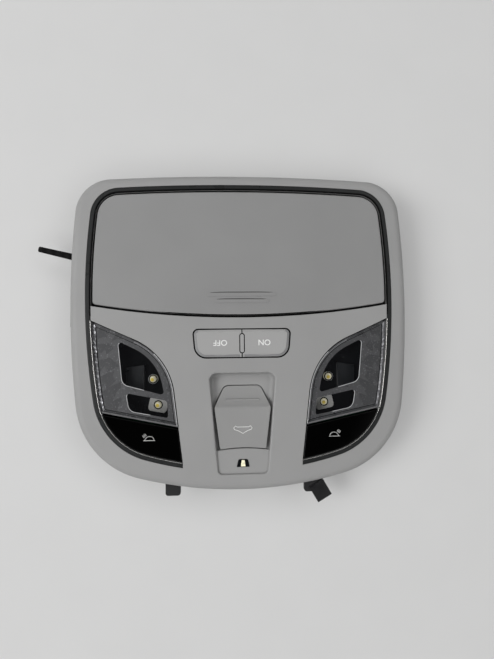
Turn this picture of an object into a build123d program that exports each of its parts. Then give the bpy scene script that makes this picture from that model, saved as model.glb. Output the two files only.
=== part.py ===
from build123d import *
import os
from math import cos, radians, sin, tan

# Overhead console of a car, lying on its back with its face up.
# X runs across the car, Y towards the hinge of the glasses door and Z out of the face.
# The origin is under the middle of the part, on the surface that it lies on. Sizes are in millimetres.

# Face: one shallow dome that everything on the face follows
FACE_Z = 46.0
CROWN_RADIUS = 1600.0
CROWN_Y = 6.0
PLATE = 3.0
SKIRT_Z = 30.0
SKIRT_WALL = 2.5
RIM_ROUND = 6.0

# Rim outline: four bowed edges with rounded corners
RIM_TOP_Y = 121.0
RIM_LENGTH = 229.5
RIM_TOP_HALF = 117.7
RIM_TOP_BOW = 3.3
RIM_TOP_RADIUS = 26.5
RIM_FRONT_HALF = 114.6
RIM_FRONT_BOW = 23.3
RIM_FRONT_RADIUS = 60.0
RIM_SIDE_BOW = 6.75

# Trim strip in its channel, with the band of rim left outside it
TRIM_TOP_BAND = 7.7
TRIM_TOP_SIDE_BAND = 11.8
TRIM_TOP_BOW = 3.0
TRIM_TOP_RADIUS = 21.0
TRIM_FRONT_BAND = 13.6
TRIM_FRONT_SIDE_BAND = 14.1
TRIM_FRONT_BOW = 21.3
TRIM_FRONT_RADIUS = 51.0
TRIM_SIDE_BOW = 8.0
TRIM_WIDTH = 3.8
TRIM_DEPTH = 1.6
TRIM_PROUD = 0.3
TRIM_ROUND = 0.7
TRIM_FIT = 0.12
TRIM_END_HALF = 43.0

# Glasses door, its hinge and its finger ribs
DOOR_GAP = 1.4
DOOR_LENGTH = 90.6
DOOR_EDGE_RADIUS = 628.0
DOOR_EDGE_GAP = 1.6
DOOR_WALL = 2.6
DOOR_ROUND = 1.0
DOOR_CORNER_RADIUS = 2.5
HINGE_INSET = 24.0
HINGE_Z = 36.0
PIN_RADIUS = 1.5
PIN_FIT = 0.05
EAR_THICK = 3.2
EAR_RADIUS = 3.5
RIB_LENGTHS = (50.0, 40.0)
RIB_OFFSETS = (15.1, 10.3)
RIB_WIDTH = 2.4
RIB_PROUD = 0.5
HOOK_HALF = 4.0
HOOK_THICK = 3.0
HOOK_OFFSET = 2.0
HOOK_BARB = 0.6
HOOK_Z = 34.0

# Tray behind the door, with its felt liner
TRAY_HALF = 78.0
TRAY_SWING_RADIUS = 58.0
TRAY_HINGE_GAP = 2.5
TRAY_WALL = 1.8
TRAY_MOUTH_Z = 9.0
TRAY_CORNER = 9.0
LINER_THICK = 1.2
LINER_FIT = 0.4

# Glasses housing: a bucket with a flange that carries the upper wall and the screw lugs
HOUSING_FIT = 0.4
HOUSING_WALL = 2.0
HOUSING_MARGIN = 4.8
HOUSING_SPLIT = 0.6
FLANGE_Z = 28.0
BUCKET_HALF = 94.0
BUCKET_FRONT_MARGIN = 4.5
BUCKET_BACK_GAP = 1.3
BUCKET_CORNER = 14.0
BUCKET_ROUND = 5.0
HINGE_BOSS_LENGTH = 4.8
HINGE_BOSS_HALF = 2.5
SPRING_ROOM = 5.4
WELL_Z = 8.0
WELL_LEAD = 6.0
MOUNT_HOLE = 5.5
MOUNT_HALF_SPACING = 60.0
MOUNT_Y = 66.0
SPRING_TURNS = 4
SPRING_WIRE = 0.9
SPRING_RADIUS = 2.3
SPRING_FIT = 0.4
LATCH_HALF = 8.0
LATCH_WALL = 2.0
LATCH_CLEAR = 0.8
LATCH_HEIGHT = 7.5

# Lamp leaf: the opening between the trim and two straight inner edges with a large round between them
LEAF_BEND_X = 51.6
LEAF_BEND_DROP = 27.8
LEAF_TOP_ANGLE = 24.2
LEAF_LEAN_ANGLE = 6.4
LEAF_BEND_RADIUS = 48.0
LEAF_GAP = 0.4
SPLIT_X = 72.5
SPLIT_DROP = 74.1
SPLIT_ANGLE = 11.6
SPLIT_GAP = 1.2
SEAT = 1.0
LENS_PROUD = 0.3
LENS_ROUND = 0.8
PANEL_THICK = 1.6
WINDOW_ONE = ((88.8, -17.3), (61.0, -31.1), (55.8, -56.8), (85.8, -48.7))
WINDOW_ONE_RADII = (2.0, 36.0, 2.0, 6.0)
WINDOW_TWO = ((83.2, -54.7), (54.0, -60.7), (53.2, -73.1), (81.0, -67.8))
WINDOW_TWO_RADII = (2.0, 2.5, 1.5, 6.0)
REFLECTOR_INSET = 4.5
REFLECTOR_WALL = 1.4
DIODE_ONE = (65.3, -45.5)
DIODE_TWO = (61.6, -64.4)
DIODE_RADIUS = 2.5
DIODE_RIM = 3.3
DIODE_RIM_HEIGHT = 3.2
DIODE_HOLE_GAP = 0.3
HOLDER_LENGTH = 13.5
HOLDER_WIDTH = 10.5
HOLDER_THICK = 2.4
HOLDER_CORNER = 2.5
KEY_GAP = 0.5
KEY_PROUD = 0.2
KEY_DEPTH = 5.0
KEY_ROUND = 0.5
KEY_PLUNGER = (66.0, -87.0)

# Push buttons with a divider light pipe between them
BUTTON_TOP_DROP = 9.4
BUTTON_LENGTH = 21.4
BUTTON_TOP_HALF = 35.6
BUTTON_LOW_HALF = 33.8
BUTTON_TOP_RADIUS = 4.0
BUTTON_LOW_RADIUS = 9.0
BUTTON_GAP = 0.8
BUTTON_SPLIT = 0.8
BUTTON_PROUD = 0.6
BUTTON_DEPTH = 5.0
BUTTON_BEVEL = 1.8
BUTTON_BEVEL_DEPTH = 0.9
BUTTON_TRAVEL = 1.2
FLANGE_REST_GAP = 0.3
BUTTON_PLUNGER_X = 17.5
PLUNGER_RADIUS = 2.0
DIVIDER_LENGTH = 13.2
DIVIDER_WIDTH = 2.6
DIVIDER_GAP = 0.7

# Lever recess: a keystone, deep under the lever and shallow at its front
RECESS_TOP_DROP = 41.5
RECESS_LENGTH = 72.4
RECESS_TOP_HALF = 23.8
RECESS_LOW_HALF = 17.6
RECESS_TOP_RADIUS = 5.0
RECESS_LOW_RADIUS = 3.0
RECESS_WALL = 2.0
CUP_GAP = 0.4
RECESS_EDGE = 1.2
RECESS_FLOOR_Z = 37.8
RECESS_SCOOP = 3.5
WELL_ROOM = 0.6
WELL_FLOOR_Z = 31.5
APRON_DEPTH = 2.0
APRON_LENGTH = 17.0
LEVER_TIP_GAP = 9.4
LEVER_TIP_HALF = 13.0
LEVER_WIDE_HALF = 20.2
LEVER_WIDE_GAP = 24.6
LEVER_LOW_HALF = 16.4
LEVER_LOW_GAP = 1.0
LEVER_END_BOW = 1.2
LEVER_THICK = 2.6
LEVER_TIP_Z = 38.6
LEVER_DIP = 1.5
LEVER_CREST_Z = 44.6
LEVER_END_Z = 43.6
LEVER_PIVOT_GAP = 31.5
LEVER_PIVOT_Z = 36.0
LEVER_BOSS_RADIUS = 3.2
LEVER_STEM_HALF = 1.2
LEVER_STEM_WIDTH = 6.0
LEVER_STEM_Z = 29.5
LEVER_SLOT_GAP = 2.2
LEVER_RIB_SHARE = 0.62
LEVER_RIB_LENGTH = 24.0
LEVER_RIB_WIDTH = 1.6
LEVER_TIP_RADIUS = 5.0
LEVER_WIDE_RADIUS = 5.0
LEVER_LOW_RADIUS = 1.5
LEVER_CREST_RADIUS = 3.0
MOOD_LENGTH = 9.4
MOOD_TOP_LENGTH = 6.8
MOOD_WIDTH = 5.8
MOOD_TOP_RADIUS = 1.6
MOOD_LOW_RADIUS = 0.5
MOOD_OFFSET = 7.6
MOOD_FIT = 0.1

# Boards and switches
BOARD_Z = 24.4
BOARD_THICK = 1.6
BOARD_HALF = 37.0
BOARD_TOP_DROP = 10.0
BOARD_LENGTH = 96.0
LAMP_BOARD_INSET = 5.0
TACT_SIDE = 6.0
TACT_HEIGHT = 3.5
TACT_PLUNGER_RADIUS = 1.7
TACT_PLUNGER_HEIGHT = 1.0
TACT_CLEAR = 0.1
LEVER_SWITCH_SIZE = (12.0, 8.0, 3.2)
CONNECTOR_X = 20.0
CONNECTOR_Y = -40.0
CONNECTOR_LENGTH = 24.0
CONNECTOR_WIDTH = 10.0
CONNECTOR_WALL = 1.4
CONNECTOR_DEPTH = 11.0
CONNECTOR_GAP = 0.5

# Rear housing behind the lamps and switches
REAR_FLOOR_Z = 6.0
REAR_ROUND = 4.0
RIB_THICK = 2.0
RIB_INSET = 8.0
LONG_RIB_X = (-80.0, -40.0, 0.0, 40.0, 80.0)
CROSS_RIB_Y = (-60.0, -20.0)
POST_RADIUS = 3.0
BOARD_POSTS = ((31.0, -4.0), (31.0, -80.0))
LAMP_POSTS = ((70.0, -20.0), (88.0, -40.0), (62.0, -74.0))
TAB_X = 51.5
TAB_WIDTH = 11.0
TAB_Z = 23.0
TAB_THICK = 4.0
TAB_REACH = 5.7
TAB_CORNER = 2.0

# Fastenings: bosses in the rim, lugs on the housings and screws through them
BOSS_RADIUS = 3.2
BOSS_DEPTH = 7.0
SCREW_RADIUS = 1.4
SCREW_HOLE = 1.7
SCREW_HEAD_RADIUS = 3.0
SCREW_HEAD_HEIGHT = 2.0
LUG_RADIUS = 4.2
LUG_ROOT = 5.0
BOSS_GAP = 7.6
REAR_BOSS_GAP = 9.0
GLASSES_BOSS_Y = (78.0, 38.0)
REAR_BOSS_Y = -56.0
FRONT_BOSS_X = 25.0
FRONT_BOSS_GAP = 8.1

# Side spring clips, the turned clip on the right tab and the harness
CLIP_Y = 19.0
CLIP_WIDTH = 15.0
CLIP_THICK = 0.9
CLIP_LUG_Z = 23.0
CLIP_LUG_THICK = 2.0
CLIP_LUG_LENGTH = 13.0
CLIP_LUG_GAP = 4.0
CLIP_LUG_Y = (2.0, 27.0)
CLIP_PROUD = 4.1
CLIP_DROP = 4.5
CLIP_TAIL = (6.0, 11.0)
TURNED_CLIP_ANGLE = 30.0
TURNED_CLIP_PLACE = (57.0, -111.5)
TURNED_CLIP_WIDTH = 12.0
TURNED_CLIP_REACH = 8.0
TURNED_CLIP_TAIL = 4.0
TURNED_CLIP_WALL = 1.0
TURNED_CLIP_GAP = 0.2
CABLE_RADIUS = 2.75
GROMMET_RADIUS = 6.0
GROMMET_TIP_RADIUS = 3.8
GROMMET_PLUG_RADIUS = 3.4
CABLE_ROUTE = (
    (-104.0, 61.2, 20.0),
    (-114.0, 61.2, 20.0),
    (-132.0, 65.6, 19.4),
    (-151.0, 70.4, 17.2),
)
CABLE_ARC_SHARE = 0.45

# Places worked out from the sizes above
PRISM_TOP = FACE_Z + 10.0
FAR = 400.0
RIM_FRONT_Y = RIM_TOP_Y - RIM_LENGTH
TRIM_TOP_Y = RIM_TOP_Y - TRIM_TOP_BAND
TRIM_FRONT_Y = RIM_FRONT_Y + TRIM_FRONT_BAND
TRIM_TOP_HALF = RIM_TOP_HALF - TRIM_TOP_SIDE_BAND
TRIM_FRONT_HALF = RIM_FRONT_HALF - TRIM_FRONT_SIDE_BAND
DOOR_TOP_Y = TRIM_TOP_Y - TRIM_WIDTH - DOOR_GAP
DOOR_EDGE_Y = DOOR_TOP_Y - DOOR_LENGTH
HINGE_Y = DOOR_TOP_Y - HINGE_INSET
HINGE_BOSS_X = BUCKET_HALF - HINGE_BOSS_LENGTH
EAR_OUTER_X = HINGE_BOSS_X - SPRING_ROOM
EAR_INNER_X = EAR_OUTER_X - EAR_THICK
UNDER_Z = FACE_Z - PLATE
BOARD_TOP_Z = BOARD_Z + BOARD_THICK
FLANGE_TOP_Z = FLANGE_Z + HOUSING_WALL
TACT_TOP_Z = BOARD_TOP_Z + TACT_HEIGHT + TACT_PLUNGER_HEIGHT
PLUNGER_Z = TACT_TOP_Z + BUTTON_TRAVEL + TACT_CLEAR
SIDES = (-1, 1)


def rim_side(y):
    """How far the rim's side stands from the middle at a place along it."""
    top = RIM_TOP_Y - RIM_TOP_BOW
    share = (top - y) / (top - RIM_FRONT_Y - RIM_FRONT_BOW)
    return RIM_TOP_HALF + (RIM_FRONT_HALF - RIM_TOP_HALF) * share + 4 * RIM_SIDE_BOW * share * (1 - share)


GLASSES_BOSSES = tuple((rim_side(y) - BOSS_GAP, y) for y in GLASSES_BOSS_Y)
SIDE_BOSSES = ((rim_side(REAR_BOSS_Y) - REAR_BOSS_GAP, REAR_BOSS_Y),)
FRONT_BOSSES = ((FRONT_BOSS_X, RIM_FRONT_Y + FRONT_BOSS_GAP),)
REAR_BOSSES = SIDE_BOSSES + FRONT_BOSSES
CLIP_LUG_X = rim_side(CLIP_Y) - CLIP_LUG_GAP
CLIP_LUG_START_X = CLIP_LUG_X - CLIP_LUG_LENGTH
CLIP_REACH = rim_side(CLIP_Y) + CLIP_PROUD


def crown(apex):
    """The ball whose top is the domed surface at height apex, with its seam out of the way underneath."""
    radius = CROWN_RADIUS + apex - FACE_Z
    with BuildPart() as dome:
        with Locations((0, CROWN_Y, apex - radius)):
            Sphere(radius, rotation=(0, 90, 0))
    return dome.part


def slab(outline, top, bottom=None, floor=SKIRT_Z):
    """The prism on an outline below one domed surface, down to another or to a flat floor."""
    with BuildPart() as solid:
        with BuildSketch(Plane.XY.offset(floor)):
            add(outline)
        extrude(amount=PRISM_TOP - floor)
        add(top, mode=Mode.INTERSECT)
        if bottom is not None:
            add(bottom, mode=Mode.SUBTRACT)
    return solid.part


def bowed_outline(
    top_y, top_half, top_bow, top_radius, front_y, front_half, front_bow, front_radius, side_bow
):
    """A closed outline of four bowed edges with rounded corners."""
    top_left = (-top_half, top_y - top_bow)
    top_right = (top_half, top_y - top_bow)
    front_left = (-front_half, front_y + front_bow)
    front_right = (front_half, front_y + front_bow)
    with BuildSketch() as outline:
        with BuildLine():
            SagittaArc(top_left, top_right, top_bow)
            SagittaArc(top_right, front_right, side_bow)
            SagittaArc(front_right, front_left, front_bow)
            SagittaArc(front_left, top_left, side_bow)
        make_face()
        fillet(outline.vertices().group_by(Axis.Y)[-1], radius=top_radius)
        fillet(outline.vertices().group_by(Axis.Y)[0], radius=front_radius)
    return outline.sketch


def inset(outline, amount):
    """The outline moved inwards, or outwards by a negative amount, redrawn in lines and true arcs."""
    with BuildSketch() as moved:
        add(outline)
        offset(amount=-amount)
    with BuildSketch() as redrawn:
        with BuildLine():
            for edge in moved.edges():
                if edge.geom_type == GeomType.LINE:
                    Line(edge @ 0, edge @ 1)
                else:
                    ThreePointArc(edge @ 0, edge @ 0.5, edge @ 1)
        make_face()
    return redrawn.sketch


def door_side(outline, margin):
    """The stretch of an outline on the door's side of its curved lower edge, moved out by a margin."""
    with BuildSketch() as zone:
        add(outline)
        with Locations((0, DOOR_EDGE_Y + DOOR_EDGE_RADIUS)):
            Circle(DOOR_EDGE_RADIUS + margin, mode=Mode.INTERSECT)
    return zone.sketch


def front_side(outline, margin):
    """The rest of an outline, beyond the door's curved lower edge moved out by a margin."""
    with BuildSketch() as zone:
        add(outline)
        with Locations((0, DOOR_EDGE_Y + DOOR_EDGE_RADIUS)):
            Circle(DOOR_EDGE_RADIUS + margin, mode=Mode.SUBTRACT)
    return zone.sketch


def behind_hinge(outline, lead):
    """The stretch of an outline from a little before the door's hinge to its end."""
    with BuildSketch() as zone:
        add(outline)
        with Locations((0, HINGE_Y - lead)):
            Rectangle(FAR, FAR, align=(Align.CENTER, Align.MIN), mode=Mode.INTERSECT)
    return zone.sketch


def behind_split(outline, margin=0):
    """The lens's share of a lamp leaf, above the slanted line over the switch key and a margin."""
    with BuildSketch() as zone:
        add(outline)
        with Locations(Location((SPLIT_X, DOOR_EDGE_Y - SPLIT_DROP + margin, 0), (0, 0, SPLIT_ANGLE))):
            Rectangle(FAR, FAR, align=(Align.CENTER, Align.MIN), mode=Mode.INTERSECT)
    return zone.sketch


def before_split(outline):
    """The key's share of a lamp leaf, below the slanted line and the gap."""
    with BuildSketch() as zone:
        add(outline)
        with Locations(Location((SPLIT_X, DOOR_EDGE_Y - SPLIT_DROP - SPLIT_GAP, 0), (0, 0, SPLIT_ANGLE))):
            Rectangle(FAR, FAR, align=(Align.CENTER, Align.MAX), mode=Mode.INTERSECT)
    return zone.sketch


def rounded_polygon(points, radii):
    """A closed polygon with its own radius at each corner."""
    with BuildSketch() as shape:
        with BuildLine():
            Polyline(*points, close=True)
        make_face()
        for point, radius in zip(points, radii):
            fillet(shape.vertices().sort_by_distance((*point, 0))[0], radius=radius)
    return shape.sketch


def from_door_edge(points):
    """Points given as X and the distance below the middle of the door's lower edge."""
    return [(x, DOOR_EDGE_Y + y) for x, y in points]


def mirrored(part):
    """The same piece for the other side of the car."""
    with BuildPart() as twin:
        mirror(part, about=Plane.YZ)
    return twin.part


def both_sides(places):
    """Places on the right side and their mirror images."""
    return [(side * x, y) for x, y in places for side in SIDES]


# Domed surfaces at the heights that the pieces share
face = crown(FACE_Z)
under = crown(UNDER_Z)
above_face = crown(PRISM_TOP)
door_under = crown(FACE_Z - DOOR_WALL)
flange_top = crown(UNDER_Z - FLANGE_REST_GAP)
panel_under = crown(UNDER_Z - PANEL_THICK)

# Outlines on the face
rim = bowed_outline(
    RIM_TOP_Y, RIM_TOP_HALF, RIM_TOP_BOW, RIM_TOP_RADIUS,
    RIM_FRONT_Y, RIM_FRONT_HALF, RIM_FRONT_BOW, RIM_FRONT_RADIUS, RIM_SIDE_BOW,
)
trim_outer = bowed_outline(
    TRIM_TOP_Y, TRIM_TOP_HALF, TRIM_TOP_BOW, TRIM_TOP_RADIUS,
    TRIM_FRONT_Y, TRIM_FRONT_HALF, TRIM_FRONT_BOW, TRIM_FRONT_RADIUS, TRIM_SIDE_BOW,
)
trim_inner = inset(trim_outer, TRIM_WIDTH)

def channel(fit):
    """The trim's U-shaped band, narrowed by a fit on every side."""
    with BuildSketch() as band:
        add(inset(trim_outer, fit))
        add(inset(trim_outer, TRIM_WIDTH - fit), mode=Mode.SUBTRACT)
        with Locations((0, TRIM_FRONT_Y)):
            Rectangle(2 * (TRIM_END_HALF + fit), 4 * TRIM_FRONT_BAND, mode=Mode.SUBTRACT)
    return band.sketch


def leaf(margin):
    """The right lamp's opening, narrowed by a margin on every side."""
    top_angle = radians(LEAF_TOP_ANGLE)
    lean_angle = radians(LEAF_LEAN_ANGLE)
    inwards = Vector(sin(top_angle), -cos(top_angle)) + Vector(cos(lean_angle), -sin(lean_angle))
    shift = 2 * margin / inwards.length**2
    bend = Vector(LEAF_BEND_X, DOOR_EDGE_Y - LEAF_BEND_DROP) + inwards * shift
    with BuildSketch() as side:
        with BuildLine():
            Polyline(
                (bend.X, bend.Y),
                (bend.X + FAR, bend.Y + FAR * tan(top_angle)),
                (bend.X + FAR, bend.Y - FAR),
                (bend.X - FAR * tan(lean_angle), bend.Y - FAR),
                close=True,
            )
        make_face()
        fillet(side.vertices().sort_by_distance(bend)[0], radius=LEAF_BEND_RADIUS - margin)
    with BuildSketch() as opening:
        add(inset(trim_outer, TRIM_WIDTH + margin))
        add(side.sketch, mode=Mode.INTERSECT)
    return opening.sketch


button_top_y = DOOR_EDGE_Y - BUTTON_TOP_DROP
button_low_y = button_top_y - BUTTON_LENGTH
button_middle_y = (button_top_y + button_low_y) / 2
button_opening = rounded_polygon(
    (
        (-BUTTON_TOP_HALF, button_top_y),
        (BUTTON_TOP_HALF, button_top_y),
        (BUTTON_LOW_HALF, button_low_y),
        (-BUTTON_LOW_HALF, button_low_y),
    ),
    (BUTTON_TOP_RADIUS, BUTTON_TOP_RADIUS, BUTTON_LOW_RADIUS, BUTTON_LOW_RADIUS),
)

recess_top_y = DOOR_EDGE_Y - RECESS_TOP_DROP
recess_low_y = recess_top_y - RECESS_LENGTH
apron_y = recess_low_y + APRON_LENGTH
recess = rounded_polygon(
    (
        (-RECESS_TOP_HALF, recess_top_y),
        (RECESS_TOP_HALF, recess_top_y),
        (RECESS_LOW_HALF, recess_low_y),
        (-RECESS_LOW_HALF, recess_low_y),
    ),
    (RECESS_TOP_RADIUS, RECESS_TOP_RADIUS, RECESS_LOW_RADIUS, RECESS_LOW_RADIUS),
)
lever_pivot_y = recess_top_y - LEVER_PIVOT_GAP
lever_tip_y = recess_top_y - LEVER_TIP_GAP
lever_wide_y = recess_top_y - LEVER_WIDE_GAP
lever_end_y = apron_y + LEVER_LOW_GAP
lever_end_radius = (LEVER_LOW_HALF**2 + LEVER_END_BOW**2) / (2 * LEVER_END_BOW)
lever_end_centre = (0, lever_end_y + LEVER_END_BOW - lever_end_radius)
with BuildSketch() as scoop_sketch:
    add(recess)
    with Locations((0, apron_y - LEVER_LOW_GAP)):
        Rectangle(FAR, FAR, align=(Align.CENTER, Align.MIN), mode=Mode.INTERSECT)
    with Locations(lever_end_centre):
        Circle(lever_end_radius - LEVER_LOW_GAP, mode=Mode.SUBTRACT)
lever_radii = (LEVER_TIP_RADIUS, LEVER_WIDE_RADIUS, LEVER_LOW_RADIUS)
lever_outline = rounded_polygon(
    (
        (LEVER_TIP_HALF, lever_tip_y),
        (LEVER_WIDE_HALF, lever_wide_y),
        (LEVER_LOW_HALF, lever_end_y),
        (-LEVER_LOW_HALF, lever_end_y),
        (-LEVER_WIDE_HALF, lever_wide_y),
        (-LEVER_TIP_HALF, lever_tip_y),
    ),
    lever_radii + lever_radii[::-1],
)
with BuildSketch() as lever_sketch:
    add(lever_outline)
    with Locations(lever_end_centre):
        Circle(lever_end_radius, mode=Mode.SUBTRACT)
lever_well = inset(lever_outline, -WELL_ROOM)
mood_y = recess_low_y + MOOD_OFFSET
mood_window = rounded_polygon(
    (
        (-MOOD_TOP_LENGTH / 2, mood_y + MOOD_WIDTH / 2),
        (MOOD_TOP_LENGTH / 2, mood_y + MOOD_WIDTH / 2),
        (MOOD_LENGTH / 2, mood_y - MOOD_WIDTH / 2),
        (-MOOD_LENGTH / 2, mood_y - MOOD_WIDTH / 2),
    ),
    (MOOD_TOP_RADIUS, MOOD_TOP_RADIUS, MOOD_LOW_RADIUS, MOOD_LOW_RADIUS),
)

# Main bezel: domed plate and skirt, with the cup of the lever recess under it
bezel_block = slab(rim, face)
bezel_hollow = slab(inset(rim, SKIRT_WALL), under, floor=SKIRT_Z - 1)
trim_channel = slab(channel(0), above_face, crown(FACE_Z - TRIM_DEPTH))
apron_cut = slab(recess, above_face, crown(FACE_Z - APRON_DEPTH))
with BuildSketch() as apron_sketch:
    add(recess)
    with Locations((0, apron_y - RECESS_WALL)):
        Rectangle(FAR, FAR, align=(Align.CENTER, Align.MAX), mode=Mode.INTERSECT)
apron_hollow = slab(
    apron_sketch.sketch, crown(FACE_Z - APRON_DEPTH - RECESS_WALL), floor=WELL_FLOOR_Z - RECESS_WALL
)
cup_block = slab(inset(recess, -RECESS_WALL), face, floor=RECESS_FLOOR_Z - RECESS_WALL)
well_cup = slab(inset(lever_well, -RECESS_WALL), under, floor=WELL_FLOOR_Z - RECESS_WALL)
with BuildSketch() as boss_sketch:
    with Locations(*both_sides(GLASSES_BOSSES + REAR_BOSSES)):
        Circle(BOSS_RADIUS)
boss_posts = slab(boss_sketch.sketch, under)
with BuildPart() as recess_cut:
    with BuildSketch(Plane.XY.offset(RECESS_FLOOR_Z)):
        add(scoop_sketch.sketch)
    extrude(amount=PRISM_TOP - RECESS_FLOOR_Z)
    scoop_edges = recess_cut.faces().sort_by(Axis.Z)[0].edges().sort_by(Axis.Y)[1:]
    fillet(scoop_edges, radius=RECESS_SCOOP)
    with BuildSketch(Plane.XY.offset(WELL_FLOOR_Z)):
        add(lever_well)
    extrude(amount=RECESS_FLOOR_Z + RECESS_SCOOP - WELL_FLOOR_Z)

with BuildPart() as main_bezel:
    add(bezel_block)
    fillet(main_bezel.faces().sort_by(Axis.Z)[-1].edges(), radius=RIM_ROUND)
    add(bezel_hollow, mode=Mode.SUBTRACT)
    add(boss_posts)
    add(cup_block)
    add(well_cup)
    add(trim_channel, mode=Mode.SUBTRACT)
    with BuildSketch(Plane.XY.offset(SKIRT_Z)):
        add(door_side(trim_inner, DOOR_EDGE_GAP))
        add(leaf(0))
        mirror(leaf(0), about=Plane.YZ)
        add(button_opening)
    extrude(amount=PRISM_TOP - SKIRT_Z, mode=Mode.SUBTRACT)
    add(apron_cut, mode=Mode.SUBTRACT)
    mouths = main_bezel.faces().filter_by(GeomType.SPHERE).sort_by(Axis.Z)[-1].inner_wires()
    fillet(mouths.sort_by_distance((0, lever_pivot_y, FACE_Z))[0].edges(), radius=RECESS_EDGE)
    add(recess_cut.part, mode=Mode.SUBTRACT)
    add(apron_hollow, mode=Mode.SUBTRACT)
    with BuildSketch(Plane.XY.offset(WELL_FLOOR_Z - RECESS_WALL)):
        with Locations((0, lever_pivot_y)):
            Rectangle(LEVER_STEM_WIDTH + 2 * LEVER_SLOT_GAP, 2 * (LEVER_STEM_HALF + LEVER_SLOT_GAP))
    extrude(amount=RECESS_WALL, mode=Mode.SUBTRACT)
    with BuildSketch(Plane.XY.offset(WELL_FLOOR_Z)):
        add(mood_window)
    extrude(amount=PRISM_TOP - WELL_FLOOR_Z, mode=Mode.SUBTRACT)
    with BuildSketch(Plane.YZ):
        with Locations((lever_pivot_y, LEVER_PIVOT_Z)):
            Circle(PIN_RADIUS)
    extrude(amount=RECESS_TOP_HALF + RECESS_WALL, both=True, mode=Mode.SUBTRACT)
    with BuildSketch(Plane.XY.offset(SKIRT_Z)):
        with Locations(*both_sides(GLASSES_BOSSES + REAR_BOSSES)):
            Circle(SCREW_RADIUS)
    extrude(amount=BOSS_DEPTH, mode=Mode.SUBTRACT)

# Trim strip: a U that lies in the channel, open at the front between its two ends
trim_slab = slab(channel(TRIM_FIT), crown(FACE_Z + TRIM_PROUD), crown(FACE_Z - TRIM_DEPTH))
with BuildPart() as dark_trim:
    add(trim_slab)
    fillet(dark_trim.faces().sort_by(Axis.Z)[-1].edges(), radius=TRIM_ROUND)

# Glasses door with finger ribs, hinge ears and latch hook
door_outline_sharp = door_side(inset(trim_outer, TRIM_WIDTH + DOOR_GAP), 0)
with BuildSketch() as door_sketch:
    add(door_outline_sharp)
    fillet(door_sketch.vertices().group_by(Axis.Y)[0], radius=DOOR_CORNER_RADIUS)
door_slab = slab(door_sketch.sketch, face, door_under)
with BuildSketch() as finger_sketch:
    for length, rise in zip(RIB_LENGTHS, RIB_OFFSETS):
        with Locations((0, DOOR_EDGE_Y + rise)):
            SlotOverall(length, RIB_WIDTH)
finger_ribs = slab(finger_sketch.sketch, crown(FACE_Z + RIB_PROUD), door_under)
with BuildPart() as ears:
    with BuildSketch(Plane.YZ.offset(EAR_INNER_X)):
        with Locations((HINGE_Y, HINGE_Z)):
            Circle(EAR_RADIUS)
            Rectangle(2 * EAR_RADIUS, FACE_Z - HINGE_Z, align=(Align.CENTER, Align.MIN))
            Circle(PIN_RADIUS + PIN_FIT, mode=Mode.SUBTRACT)
    extrude(amount=EAR_THICK)
    mirror(about=Plane.YZ)
    add(crown(FACE_Z - DOOR_WALL / 2), mode=Mode.INTERSECT)
hook_y = DOOR_EDGE_Y + HOOK_OFFSET
with BuildPart() as hook:
    with BuildSketch(Plane.YZ):
        with BuildLine():
            Polyline(
                (hook_y, FACE_Z),
                (hook_y, HOOK_Z + 2 * HOOK_BARB),
                (hook_y - HOOK_BARB, HOOK_Z + HOOK_BARB),
                (hook_y, HOOK_Z),
                (hook_y + HOOK_THICK, HOOK_Z),
                (hook_y + HOOK_THICK, FACE_Z),
                close=True,
            )
        make_face()
    extrude(amount=HOOK_HALF, both=True)
    add(crown(FACE_Z - DOOR_WALL / 2), mode=Mode.INTERSECT)
with BuildPart() as glasses_door:
    add(door_slab)
    fillet(glasses_door.faces().sort_by(Axis.Z)[-1].edges(), radius=DOOR_ROUND)
    add(finger_ribs)
    add(ears.part)
    add(hook.part)

# Glasses tray behind the door: its free wall is round about the hinge, and it opens away from the door
tray_back_y = HINGE_Y - TRAY_HINGE_GAP - EAR_RADIUS


def tray_body(shrink, top):
    """The tray's outside, or its inside by a shrink of one wall."""
    with BuildSketch() as plan:
        with Locations((0, tray_back_y - shrink)):
            Rectangle(
                2 * (TRAY_HALF - shrink), TRAY_SWING_RADIUS + EAR_RADIUS, align=(Align.CENTER, Align.MAX)
            )
        fillet(plan.vertices(), radius=TRAY_CORNER - shrink)
    body = slab(plan.sketch, top, floor=TRAY_MOUTH_Z - shrink)
    with BuildPart() as swept:
        with BuildSketch(Plane.YZ):
            with Locations((HINGE_Y, HINGE_Z)):
                Circle(TRAY_SWING_RADIUS - shrink)
        extrude(amount=TRAY_HALF, both=True)
        add(body, mode=Mode.INTERSECT)
    return swept.part


tray_outside = tray_body(0, door_under)
tray_inside = tray_body(TRAY_WALL, crown(FACE_Z - DOOR_WALL - TRAY_WALL))
with BuildPart() as glasses_tray:
    add(tray_outside)
    add(tray_inside, mode=Mode.SUBTRACT)

liner_block = tray_body(TRAY_WALL + LINER_FIT, crown(FACE_Z - DOOR_WALL - TRAY_WALL))
liner_cut = crown(FACE_Z - DOOR_WALL - TRAY_WALL - LINER_THICK)
with BuildPart() as tray_liner:
    add(liner_block)
    add(liner_cut, mode=Mode.SUBTRACT)

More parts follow.
